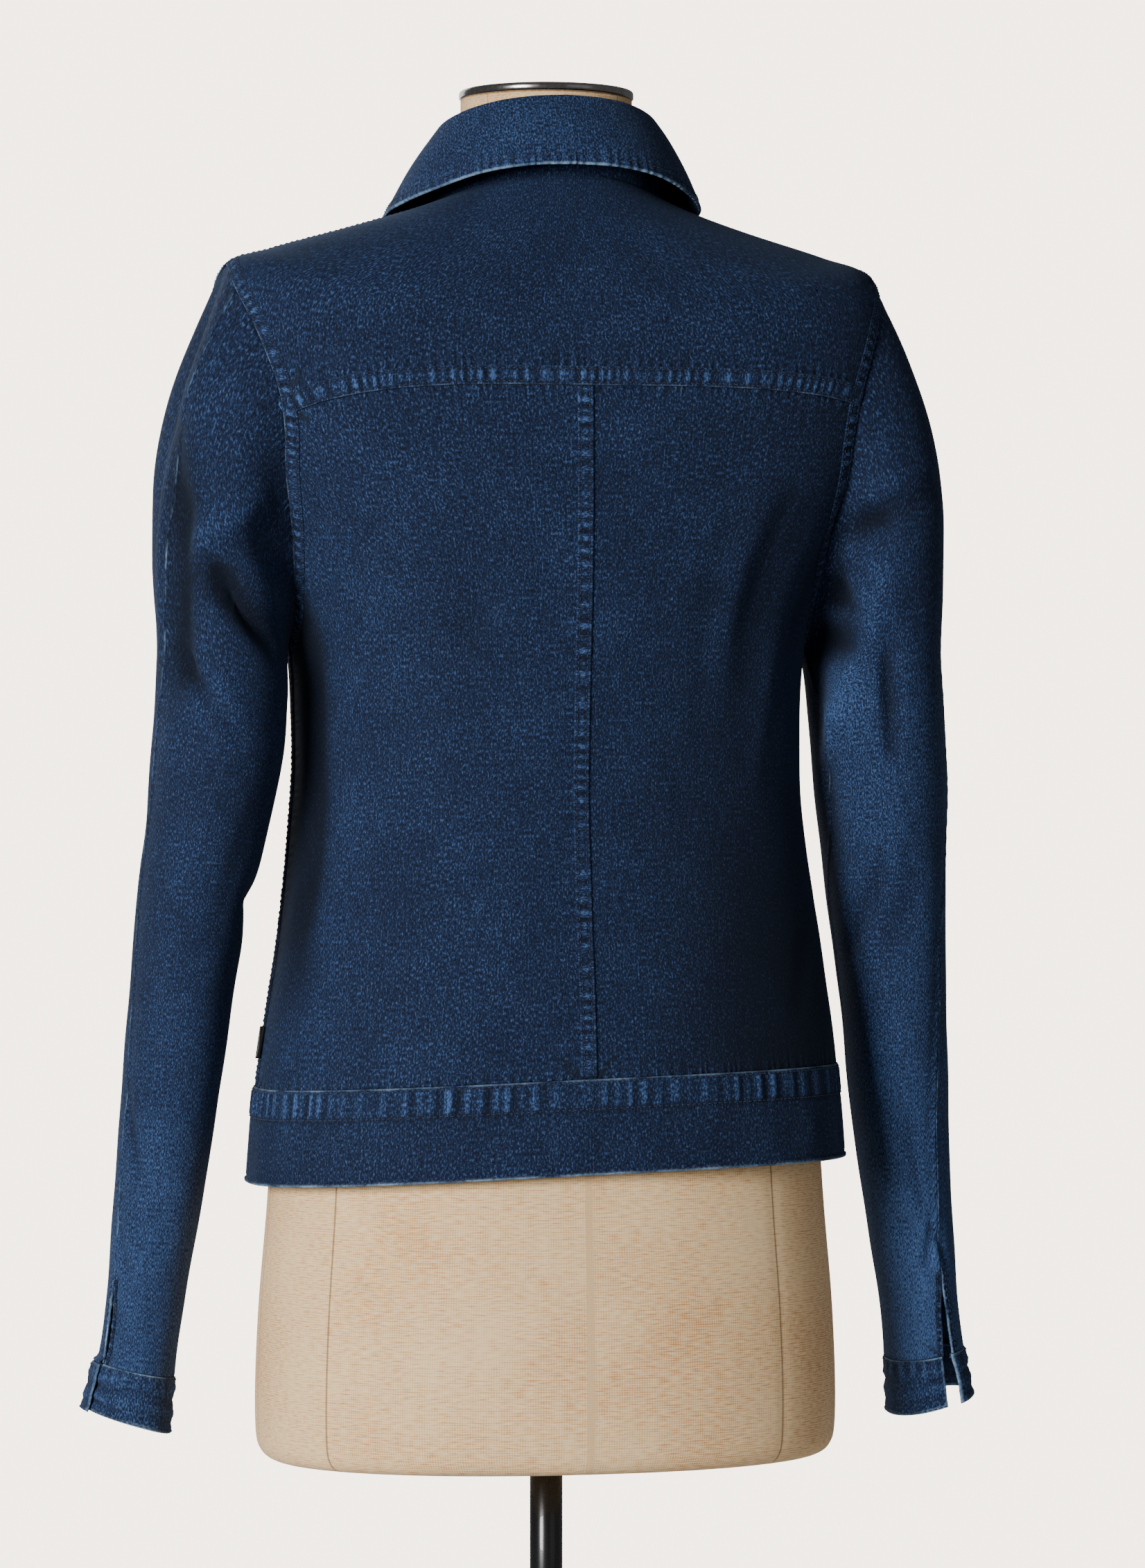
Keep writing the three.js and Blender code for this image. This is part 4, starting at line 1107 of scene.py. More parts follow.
@dataclass(frozen=True)
class Linen:
    """Natural linen over papier mache: plain weave of uneven yarns, slubs, matt."""

    name: str = "natural_linen"
    colour: str = "#d0925a"
    pale: str = "#ffdca9"
    seam: str = "#6b4d2c"
    seam_mm: float = 0.9
    # The yarns are 0.5 mm apart; they are drawn 1.3 mm apart so that they show.
    yarn_mm: float = 1.3

    def build(self) -> bpy.types.Material:
        """Make the weave: two sets of bands, one along each thread system of the piece's flat place."""
        made, tree, shader = new_finish(self.name)
        place = add_node(tree, "ShaderNodeUVMap", uv_map="Cloth").outputs[0]
        bands = []
        for direction in ("X", "Y"):
            sized = add_node(tree, "ShaderNodeMapping", {"Vector": place, "Scale": PER_MM})
            bands.append(add_node(tree, "ShaderNodeTexWave", {
                "Vector": sized.outputs[0], "Scale": WAVE_BAND / self.yarn_mm, "Distortion": 1.6,
                "Detail": 2.0, "Detail Scale": 0.6,
            }, bands_direction=direction))
        slub_place = add_node(tree, "ShaderNodeMapping", {"Vector": place, "Scale": (160.0, 900.0, 1)})
        slubs = add_node(tree, "ShaderNodeTexNoise", {
            "Vector": slub_place.outputs[0], "Scale": 1.0, "Detail": 3.0,
        })
        cover = add_node(tree, "ShaderNodeTexNoise", {"Vector": place, "Scale": 14.0, "Detail": 3.0})
        weave = add_node(tree, "ShaderNodeMath", {0: bands[0].outputs[1], 1: bands[1].outputs[1]},
                         operation="MULTIPLY")
        level = add_node(tree, "ShaderNodeMath", {0: weave.outputs[0], 1: 0.55, 2: slubs.outputs[0]},
                         operation="MULTIPLY_ADD")
        level = add_node(tree, "ShaderNodeMath", {0: cover.outputs[0], 1: 0.5, 2: level.outputs[0]},
                         operation="MULTIPLY_ADD")
        share = add_node(tree, "ShaderNodeMapRange", {
            "Value": level.outputs[0], "From Min": 0.55, "From Max": 0.98,
        })
        colour = add_node(tree, "ShaderNodeMix", {
            "Factor": share.outputs[0], 6: srgb(self.colour), 7: srgb(self.pale),
        }, data_type="RGBA")
        # The cover's sewn seams: the piece carries each point's distance from the nearest one in mm.
        distance = add_node(tree, "ShaderNodeAttribute", attribute_name="seam_distance")
        line = add_node(tree, "ShaderNodeMapRange", {
            "Value": distance.outputs["Fac"], "From Min": 0.2, "From Max": self.seam_mm,
            "To Min": 0.75, "To Max": 0.0,
        })
        sewn = add_node(tree, "ShaderNodeMix", {
            "Factor": line.outputs[0], 6: colour.outputs[2], 7: srgb(self.seam),
        }, data_type="RGBA")
        bump = add_node(tree, "ShaderNodeBump", {
            "Height": level.outputs[0], "Distance": 0.00015, "Strength": 0.6,
        })
        fill_inputs(tree, shader, {
            "Base Color": sewn.outputs[2], "Normal": bump.outputs[0], "Roughness": 0.9,
            "Specular IOR Level": 0.2, "Sheen Weight": 0.1,
        })
        return made


# Spun filament: a dull gleam along each stitch, close to the cloth in colour.
THREAD = PlainFinish("navy_polyester_thread", "#0e1830", "#1c2b4b", 0.55, grain_mm=0.5, sheen=0.1)
# Woven with long floats: smoother than the denim, with a soft shine across the ribs.
SATIN = PlainFinish("black_satin_ribbon", "#0c0c0e", "#1a1a1d", 0.42, grain_mm=0.6, stretch=(1, 1, 0.1))
# Stamped and tumbled: a grey metal whose highlights are broken by fine scratches.
BUTTON_METAL = PlainFinish(
    "tumbled_nickel", "#6f6a62", "#918b80", 0.34, metallic=1.0, grain_mm=0.8, relief_mm=0.02, uneven=0.12
)
# Spun and plated: bright, with clear reflections that waver only a little.
CAP_METAL = PlainFinish(
    "polished_chrome_cap", "#8f8b87", "#a9a5a0", 0.2, metallic=1.0, grain_mm=3.0, relief_mm=0.01, uneven=0.05
)
# Powder that flowed together in the oven: black, half gloss, with a faint orange peel.
POLE = PlainFinish(
    "black_powder_coat", "#08080a", "#121214", 0.28, grain_mm=0.7, relief_mm=0.02, coat=0.4, uneven=0.06
)


# The jacket.


@dataclass
class Garment:
    """A part of the jacket: its cloth by node, the strips sewn to each node, and its rows of stitches."""

    denim: bpy.types.Material
    lines: list = field(default_factory=list, init=False)
    pieces: dict = field(default_factory=dict, init=False)
    trims: dict = field(default_factory=dict, init=False)

    # The piece that the stitches are named for and belong to.
    stitched_to = ""

    def keep(self, node: str, cloth: Cloth) -> None:
        """Build a piece of denim that stands for its node."""
        made = cloth.build(f"{node}_denim", self.denim)
        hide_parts(node)
        self.pieces[node] = made

    def sew_on(self, name: str, fell: Fell, angle: Array, row: Array, origin: tuple, node: str) -> None:
        """Build a folded strip, and keep its rows of stitches and the node that it is sewn to."""
        made, lines = fell.build(name, angle, row, self.denim, origin)
        self.trims.setdefault(node, []).append(made)
        self.lines += lines

    def stitch(self, p: Array, n: Array, height) -> None:
        """Keep a row of stitches at a height over one line of a grid."""
        self.lines.append((p + n * np.asarray(height)[..., None], n))


@dataclass
class JacketBody(Garment):
    """The back, yoke and fronts with their felled seams."""

    step: float = 2.6
    yoke_end: dict = field(default_factory=lambda: {Side.LEFT: 86.0, Side.RIGHT: 79.0})
    band_half: float = 15.0

    stitched_to = "back_yoke"

    def yoke_row(self, s: Array) -> Array:
        """The yoke seam's row at a share s of the way from the centre back (0) to an armhole (-1 or 1)."""
        ends = {side: hole(np.array(psi))[1] for side, psi in self.yoke_end.items()}
        end = np.where(s >= 0, ends[Side.LEFT], ends[Side.RIGHT])
        return mix(YOKE_CENTRE, end, np.abs(s) ** 2.6)

    def panel(self, front: bool, side: Side, s: Array, t: Array, top) -> Cloth:
        """A body panel from the waistband up.

        Args:
            front: whether it is a front, else a back.
            side: the wearer's side.
            s: shares from the inner edge to the outer one.
            t: shares from bottom to top.
            top: the row that it ends at, one for each share s or one for all.

        Returns:
            The cloth.
        """
        s2, t2 = np.meshgrid(s, t)
        row = mix(1.0, top, t2)
        edge = edge_angle(front, row)
        if front:
            angle = mix(BODY_SKIN.front_angle(self.band_half + 0.3, row), edge, s2)
            angle = angle if side is Side.LEFT else 360 - angle
        else:
            angle = side.value * edge * s2
        p, n, height = BODY_SKIN.place(angle, row)
        if not front:
            # Painted shade towards the side seams: a strip on the left for the left sleeve's shadow, and most
            # of the right half low down, which turns away from the light.
            z, off = p[..., 2], np.abs(angle)
            strip = ease(58, 70, off) * ease(560, 640, z) * (1 - ease(800, 840, z))
            half = (0.25 + 0.75 * (1 - ease(600, 800, z))) * ease(3, 40, off)
            height = height - (7.4 * strip if side is Side.LEFT else 6.8 * half)
        cloth = Cloth(p, n, height, flat=BODY_SKIN.flat(angle, row, (side.value * 7.0 + 900.0 * front, 0.0)))
        u, v, u0, u1 = spans(p)
        cloth.pull, cloth.along = seam_pull([
            (u0 - 5, v, 0.4), (v[-1:] - v, u, 0.45), (u1 - 8, v, 0.45), (v, u, 0.5),
        ])
        return cloth

    def backs(self) -> None:
        """Two back panels that meet at the centre back and end at the yoke seam and the waistband."""
        s, t = shares(165, self.step), shares(435, self.step)
        for side in Side:
            top = self.yoke_row(s * side.value) - 0.004
            self.keep(f"back_{side.word}", self.panel(False, side, s, t, top))

    def yoke(self) -> None:
        """The yoke, from its seam across the back up over the shoulders to the neck."""
        half = shares(210, self.step)
        s2, t2 = np.meshgrid(np.concatenate([-half[:0:-1], half]), shares(135, self.step))
        row = mix(self.yoke_row(s2), NECK - 0.005, t2)
        angle = edge_angle(False, row) * s2
        p, n, height = BODY_SKIN.place(angle, row)
        u, v, u0, u1 = spans(p)
        cloth = Cloth(p, n, height, outer=0.5, inner=-1.3, flat=BODY_SKIN.flat(angle, row, (0.0, 700.0)))
        cloth.pull, cloth.along = seam_pull([(v - 11, u, 0.6), (u1 - 8, v, 0.4), (u0 - 8, v, 0.4)])
        self.keep("back_yoke", cloth)

    def fronts(self) -> None:
        """Two plain fronts from the buttoned band round to the side seam, armhole and shoulder seam."""
        s, t = shares(140, 3.8), shares(500, 3.8)
        for side in Side:
            self.keep(f"front_{side.word}", self.panel(True, side, s, t, NECK - 0.005))

    def front_bands(self) -> None:
        """The under band in the body's surface and the buttoned band that lies over it."""
        t = shares(500, 3.0)
        for name, outer, inner in (("under", 0.0, -1.4), ("over", 2.3, -0.25)):
            x = shares(2 * self.band_half, 2.0) * 2 * self.band_half - self.band_half
            x2, t2 = np.meshgrid(x, t)
            row = mix(1.012, NECK - 0.005, t2)
            angle = BODY_SKIN.front_angle(x2, row)
            angle = np.where(np.abs(x2) < 1e-6, 180.0, angle)
            p, _, height = BODY_SKIN.place(angle, row)
            n = np.broadcast_to(BODY_SKIN.normal(np.full_like(row, 180.0), row), p.shape)
            cloth = Cloth(p, n, height, outer=outer, inner=inner, origin=(800.0, 900.0))
            inside = self.band_half - np.abs(x2)
            cloth.wear = 0.6 * bell(inside, 0, 0.9) * (name == "over")
            cloth.pull, cloth.along = seam_pull([(inside - 5, t2 * 500, 0.5)])
            self.keep(f"front_band_{name}", cloth)
            if name == "over":
                for column in (2, -3):
                    self.stitch(p[:, column], n[:, column], outer + 0.05)

    def fells(self) -> None:
        """The felled seams: yoke, centre back, armholes, sides and shoulders."""
        s = np.linspace(-1, 1, 310) * 0.985
        row = self.yoke_row(s)
        fell = Fell(BODY_SKIN, 11.0, thick=0.75, gather=0.55, spacing=5.6, seed=1.0, stitch_rows=(1.8, 9.2),
                    base=0.55, lump=0.8, pale=(0.5, 0.1))
        self.sew_on("yoke_seam_fell", fell, edge_angle(False, row) * s, row, (0.0, 690.0), "back_yoke")
        row = np.linspace(1.02, YOKE_CENTRE - 0.02, 300)
        pa, _ = BODY_SKIN.pitch(np.zeros_like(row), row)
        fell = Fell(BODY_SKIN, 9.2, thick=0.95, gather=0.55, spacing=6.4, seed=2.3, stitch_rows=(2.4, 7.4),
                    lip=0.45)
        # The path runs up 5.3 mm to the wearer's right of the centre, and the strip lies to its left.
        self.sew_on("centre_back_fell", fell, (-5.3 * pa)[::-1], row[::-1], (40.0, 0.0), "back_left")
        below, above = np.linspace(1.02, ARMPIT - 0.12, 190), np.linspace(SHOULDER + 0.1, NECK - 0.05, 90)
        for side in Side:
            way, back, front = side.value, f"back_{side.word}", f"front_{side.word}"
            armhole = Fell(BODY_SKIN, 8.6, thick=0.8, gather=0.34, spacing=6.1, seed=3.1 + way,
                           stitch_rows=(1.6, 7.0), base=0.3, pale=(0.9, 0.1))
            flank = Fell(BODY_SKIN, 8.4, thick=0.8, gather=0.36, spacing=6.3, seed=5.2 + way)
            shoulder = Fell(BODY_SKIN, 7.4, thick=0.6, gather=0.25, spacing=6.0, seed=6.2 + way,
                            stitch_rows=(1.5, 5.9), base=0.55)
            # Each with its path on the wearer's left, its flat place and the panel that it is sewn to.
            for name, fell, (angle, row), across, panel in (
                ("armhole_fell_back", armhole, hole(np.linspace(4, 176, 240)), 300.0, back),
                ("armhole_fell_front", armhole, hole(np.linspace(184, 356, 240)), 340.0, front),
                ("side_seam_fell", flank, (np.full_like(below, 90.0), below), 380.0, back),
                ("shoulder_fell", shoulder, (np.full_like(above, 90.0), above), 420.0, "back_yoke"),
            ):
                self.sew_on(f"{name}_{side.word}", fell, way * angle[::-way], row[::-way],
                            (way * across, 0.0), panel)

    def build(self) -> None:
        """Make every piece of the body."""
        self.backs()
        self.yoke()
        self.fronts()
        self.front_bands()
        self.fells()


@dataclass
class Waistband(Garment):
    """The waistband in three lengths, gathered along its top seam."""

    height: float = 54.5
    gather_height: float = 16.0
    corner_angle: float = -86.0

    stitched_to = "waistband_back"

    def length(self, name: str, start: float, end: float, lap: float, seed: float, step: float) -> None:
        """One length between two angles, raised by lap mm where it lies over its neighbour."""
        count = abs(end - start) / 180 * 470 / step
        close = np.array([0.0, 0.4, 1.0, 1.8, 3.0])
        even = [np.linspace(5, 34, 13), np.linspace(35.5, 51, 15)]
        up = np.concatenate([close, *even, self.height - close[::-1]])
        a2, t2 = np.meshgrid(np.linspace(start, end, round(count)), up / self.height)
        row = t2 * 0.998
        p, n, _ = BODY_SKIN.place(a2, row)
        gone = np.radians(a2) * BODY_SKIN.radius
        below = (1 - t2) * self.height
        hem = self.height - below
        zone = ease(1.0, 3.0, below) * (1 - ease(self.gather_height - 2.5, self.gather_height + 1.5, below))
        wave = 0.7 * pucker(gone + 0.5 * np.sin(below / 5), 7.4, seed) + 0.6 * pucker(gone, 13.0, seed + 3)
        low_wave = pucker(gone, 31.0, seed + 2) * bell(below, 34, 16)
        # The hem turns up at the wearer's right side seam.
        corner = bell((a2 - self.corner_angle) * 2.6, 0, 9.0)
        lift = (
            lap * ease(-34, -22, p[..., 0]) + 0.8 * zone * wave + 0.45 * low_wave
            - 0.25 * bell(below, 1.9, 0.9) - 0.3 * bell(below, self.gather_height, 1.0)
            + 0.5 * bell(hem, 1.4, 1.4) - 0.5 * bell(hem, 4.4, 1.3)
            + corner * (1.5 * bell(hem, 7, 4.0) - 0.8 * bell(hem, 14, 4.0))
        )
        line = bell(below, self.gather_height, 1.2)
        shade = 6.0 * zone * wave + 1.2 * low_wave + 1.4 * zone - 4.0 * line - 0.8
        uneven = 0.65 + 0.35 * np.sin(gone / 13.0) * np.sin(gone / 5.1 + seed)
        self.keep(name, Cloth(
            p, n, shade, outer=0.9, inner=-1.5, lift=lift, flat=BODY_SKIN.flat(a2, row, (0.0, -200.0 - seed)),
            wear=bell(hem, 0, 2.8) * uneven + 0.7 * bell(below, 0, 1.2) * uneven,
        ))
        for distance in (1.9, self.gather_height, 51.5):
            j = int(np.abs(below[:, 0] - distance).argmin())
            self.stitch(p[j], n[j], 0.95 + lift[j] + 0.1)

    def build(self) -> None:
        """Make the back length and the two front lengths."""
        self.length("waistband_back", -89.9, 89.9, 0.0, 1.0, 1.5)
        self.length("waistband_front_left", 90.1, 186.2, 0.0, 2.0, 2.1)
        self.length("waistband_front_right", 269.9, 174.0, 2.9, 3.0, 2.1)


@dataclass
class Sleeve(Garment):
    """One sleeve: an under and an upper piece that meet at the outer seam, hemmed edges at its vent, and the
    cuff.
    """

    skin: SleeveSkin
    step: float = 2.8
    pale_low: float = 3.0
    lap_height: float = 2.9
    tuck: float = 1.75
    cuff_radius: float = 32.0
    cuff_depth: float = 30.0

    outer_seams = {
        Side.LEFT: [(352, 24), (382, 24), (440, 21), (530, 14), (661, 4), (730, 8), (850, 24), (960, 34)],
        Side.RIGHT: [(352, 80), (382, 79), (430, 78), (500, 70), (613, 54), (700, 30), (800, 20), (960, 22)],
    }
    inner_seams = {
        Side.LEFT: [(352, 200), (500, 196), (700, 188), (801, 180)],
        Side.RIGHT: [(352, 200), (500, 198), (640, 190), (700, 172), (760, 156), (785, 165), (801, 178)],
    }
    vents = {
        Side.LEFT: [(382, 1.6), (394, 4.6), (412, 5.0), (426, 2.6), (436, 0)],
        Side.RIGHT: [(382, 7.0), (405, 4.6), (426, 0)],
    }
    seam_starts = {Side.LEFT: 30.0, Side.RIGHT: 18.0}
    # How much lighter each sleeve is painted below its top, as painted light.
    paler = {Side.LEFT: 0.0, Side.RIGHT: 2.2}

    @property
    def stitched_to(self) -> str:
        """The cuff carries the sleeve's stitches."""
        return f"cuff_{self.skin.side.word}"

    def seams(self, row: Array) -> tuple[Array, Array, Array]:
        """The outer seam's angle, the inner seam's, and half the vent's angle at each row."""
        side = self.skin.side
        z = self.skin.bare(np.full_like(row, 90.0), row)[..., 2]
        outer = mix(self.seam_starts[side], eased_lookup(self.outer_seams[side], z), ease(0, 0.5, row))
        inner = mix(180.0, eased_lookup(self.inner_seams[side], z), ease(0, 1, row))
        return outer, inner, (eased_lookup(self.vents[side], z) / 2 + 0.15) / 0.5

    def rows(self) -> Array:
        """Row numbers from the armhole to the cuff, closest at both ends."""
        head = np.array([0, 0.004, 0.01, 0.018, 0.03])
        cap = np.linspace(0.042, 1, 74)
        tube = np.linspace(1, 13.9, 140)[1:]
        return np.concatenate([head, cap, tube, [13.94, 13.97, 13.99, 14.02, 14.06, 14.1]])

    def panel(self, under: bool) -> None:
        """The under piece, towards the back and the body, or the upper piece."""
        side = self.skin.side
        word = "under" if under else "upper"
        w, row = np.meshgrid(shares(145 if under else 180, self.step), self.rows())
        outer, inner, half = self.seams(row)
        start, end = (outer + half, inner - 0.3) if under else (inner - 359.7, outer - half)
        psi = mix(start, end, w)
        p, n, height = self.skin.place(psi, row)
        height = height + self.pale_low * (1 - ease(430, 640, p[..., 2]))
        # Painted light: the right sleeve is painted lighter below its top.
        height = height + self.paler[side] * (1 - ease(760, 840, p[..., 2]))
        u, v, u0, u1 = spans(p)
        seam, other = (u0, u1) if under else (u1, u0)
        wave = pucker(v, 8.5, 3.0 + under + side.value)
        lift = (0.5 * bell(seam, 0, 1.7) - 0.35 * bell(seam, 4.5, 2.2) + 0.4 * bell(other, 0, 1.5)
                + 0.18 * wave * bell(seam, 0, 7))
        # The last 3 mm are sewn in under the cuff.
        lift = lift - self.tuck * ease(13.965, 14.03, row)
        if side is Side.LEFT and not under:
            # Its last 4 mm rise with the end of the cuff that laps over the other one.
            lift = lift + self.lap_height * ease(-62, -26, psi - outer) * ease(13.84, 13.97, row)
        uneven = 0.5 + 0.5 * np.sin(v / 14.0 + under) * np.sin(v / 5.3)
        cloth = Cloth(
            p, n, height, lift=lift, flat=self.skin.flat(psi, row, (side.value * 600.0 + 300.0 * under, 0.0)),
            wear=0.55 * uneven * bell(seam, 0, 0.8) + 0.5 * uneven * bell(other, 0, 0.8),
        )
        cloth.pull, cloth.along = seam_pull([
            (seam, v, 0.3), (v, u, 0.35), (other, v, 0.25), (v[-1:] - v, u, 0.5),
        ])
        self.keep(f"sleeve_{word}_{side.word}", cloth)

    def vent_hems(self) -> None:
        """The narrow turned hems down both edges of the vent above the cuff."""
        side = self.skin.side
        row = np.linspace(11.72, 13.97, 110)
        outer, _, half = self.seams(row)
        hem = Fell(self.skin, 3.6, thick=0.85, gather=0.2, spacing=5.0, seed=7.0 + side.value,
                   stitch_rows=(2.6,), pale=(1.0, 0.2))
        for word, psi, way in (("upper", outer - half, 1), ("under", outer + half, -1)):
            self.sew_on(f"vent_hem_{word}_{side.word}", hem, psi[::way], row[::way], (1500.0, 0.0),
                        f"sleeve_{word}_{side.word}")

    def cuff(self) -> None:
        """The cuff: a strip that laps over its own end on the left and stands open on the right."""
        side = self.skin.side
        start = float(eased_lookup(self.outer_seams[side], 382))
        first, last = (start - 14, start + 358) if side is Side.LEFT else (start + 9, start + 353)
        close = np.array([0, 0.4, 1.0, 1.8])
        down = np.concatenate([close, np.linspace(3.0, 27.5, 18), self.cuff_depth - close[::-1]])
        down = down / self.cuff_depth
        a2, t2 = np.meshgrid(np.linspace(first, last, 165), down)
        row = mix(CUFF_ROW, CUFF_END, t2) + 0.001 * (1 - t2)
        if side is Side.LEFT:
            lap = self.lap_height * ease(last - 60, last - 24, a2)
        else:
            lap = self.lap_height * ease(last - 50, last, a2) * ease(0.05, 0.5, t2)
        p = self.skin.tube(a2, row)
        around = self.skin.tube(a2 + 2, row) - self.skin.tube(a2 - 2, row)
        n = unit(-np.cross(around, -UP))
        gone, deep = np.radians(a2) * self.cuff_radius, t2 * self.cuff_depth
        wave = pucker(gone, 9.0, 1.5 + side.value) * bell(deep, 4, 4.0)
        wrinkle = sum(
            h * bell(deep - d - 1.2 * np.sin(gone / 9 + d), 0, 1.5)
            for d, h in ((7.5, 0.8), (12.0, -0.9), (17.5, 0.7), (22.0, -0.6))
        ) * (0.55 + 0.45 * np.sin(gone / 14 + side.value))
        if side is Side.RIGHT:
            p, n = p * MIRROR, n * MIRROR
        lift = lap + 0.35 * wave + wrinkle
        ends = np.minimum(a2 - first, last - a2) * 0.55
        wear = bell(self.cuff_depth - deep, 0, 2.8) + bell(ends, 0, 1.6) + 0.8 * bell(deep, 0, 1.0)
        # Its tone: puckers and wrinkles lighter on their crests and darker in their troughs, as painted light
        # and shade; the whole cuff is also lighter.
        self.keep(f"cuff_{side.word}", Cloth(
            p, n, 3.2 * wave + 4.0 * wrinkle + 1.8, outer=0.6, inner=-1.4, lift=lift,
            origin=(1800.0, 50.0 * side.value), wear=np.clip(wear, 0, 1) * (0.7 + 0.3 * np.sin(gone / 7)),
        ))
        for distance in (1.8, 28.2):
            j = int(np.abs(down * self.cuff_depth - distance).argmin())
            self.stitch(p[j], n[j], 0.65 + lift[j])

    def build(self) -> None:
        """Make every piece of the sleeve."""
        self.panel(True)
        self.panel(False)
        self.vent_hems()
        self.cuff()


# Fold line and lower edge of the collar from the centre back to the front end: x, y, z of each.
COLLAR = np.array([
    [0, 57.5, 1108, 0, 84.5, 1066],
    [20, 55.5, 1107, 26, 82.5, 1065],
    [39, 47, 1104.5, 52, 71.5, 1061],
    [55, 30, 1100, 74, 48, 1054],
    [63.5, 8, 1094, 88, 16, 1048.5],
    [63, -17, 1085, 92, -19, 1044.5],
    [54, -42, 1071, 91, -46, 1031],
    [38, -61, 1053, 84, -68, 1009],
    [21, -72, 1036, 71, -82, 986],
    [8, -76.5, 1024, 53, -88, 966],
])


@dataclass
class Collar(Garment):
    """The collar leaf that falls from the fold line, and the stand round the neck."""

    stitched_to = "collar_leaf"

    @staticmethod
    def at(s: Array, first: int) -> Array:
        """The fold line (first 0) or the lower edge (first 3) at a share s of the way to either end."""
        v = np.abs(s) * (len(COLLAR) - 1)
        x, y, z = (catmull(COLLAR, first + k, v) for k in range(3))
        return np.stack([np.sign(s) * x, y, z], -1)

    @staticmethod
    def outward(p: Array) -> Array:
        """The level way out of the neck at each point, from an axis 5 mm in front of the middle."""
        return p * LEVEL + np.array([0, 5.0, 0])

    def leaf_point(self, s: Array, t: Array) -> Array:
        """The leaf: straight from fold to edge, bowed out by half a sine that dies towards the edge."""
        t3 = t[..., None]
        p = mix(self.at(s, 0), self.at(s, 3), t3)
        away = unit(self.outward(p))
        return p + away * (3.2 * np.sin(np.pi * np.clip(t3, 0, 1)) * (1 - 0.5 * t3))

    def leaf(self) -> None:
        """The leaf, rolled over the fold line, with puckers along its stitched edge."""
        s2, t2 = np.meshgrid(shares(640, 2.3) * 2 - 1, shares(48, 2.2))
        p = self.leaf_point(s2, t2)
        ds = self.leaf_point(np.minimum(s2 + 0.01, 1), t2) - self.leaf_point(np.maximum(s2 - 0.01, -1), t2)
        dt = self.leaf_point(s2, np.minimum(t2 + 0.02, 1)) - self.leaf_point(s2, np.maximum(t2 - 0.02, 0))
        n = unit(np.cross(ds, dt))
        n = n * np.sign((n * self.outward(p)).sum(-1, keepdims=True))
        u, v, u0, u1 = spans(p)
        low = v[-1:] - v
        wave = pucker(u, 7.5, 4.0) * bell(low, 3.4, 2.6)
        swell = 0.5 * ripple(u, v * 1.4, 5.0) * np.sin(np.pi * t2)
        lift = 0.22 * wave + swell - 0.3 * bell(low, 6.2, 0.8)
        uneven = 0.7 + 0.3 * np.sin(u / 17.0) * np.sin(u / 6.1)
        # Its tone: swells and puckers lighter on their crests and darker in their troughs, as painted light
        # and shade, and the whole leaf lighter as painted light, for it faces up.
        cloth = Cloth(p, n, 1.6 * wave + 1.5 * swell + 2.0, outer=0.6, inner=-1.4, lift=lift,
                      origin=(0.0, 1500.0),
                      wear=np.maximum(bell(low, 0, 1.15), bell(np.minimum(u0, u1), 0, 1.1)) * uneven)
        cloth.pull, cloth.along = seam_pull([(low - 5, u, 0.5)])
        self.keep("collar_leaf", cloth)
        j = int(np.abs(low[:, low.shape[1] // 2] - 6.2).argmin())
        self.stitch(p[j], n[j], 0.65 + lift[j] + 0.12)

    def stand(self) -> None:
        """The stand, from the neck seam up to just inside the fold line."""
        s2, t2 = np.meshgrid(shares(420, 3.0) * 2 - 1, shares(44, 3.0))
        top = self.at(s2 * 0.985, 0) + np.array([0, 0, -0.7])
        low = BODY_SKIN.bare(178.4 * s2, np.full_like(s2, NECK))
        foot = low - 1.0 * unit(low * LEVEL) - np.array([0, 0, 1.1])
        p = mix(foot, top - 1.9 * unit(top * LEVEL), t2[..., None])
        flat_tone = np.zeros_like(s2)
        self.keep("collar_stand", Cloth(p, unit(p * LEVEL), flat_tone, inner=-1.6, origin=(0.0, 1700.0)))

    def build(self) -> None:
        """Make the leaf and the stand."""
        self.leaf()
        self.stand()


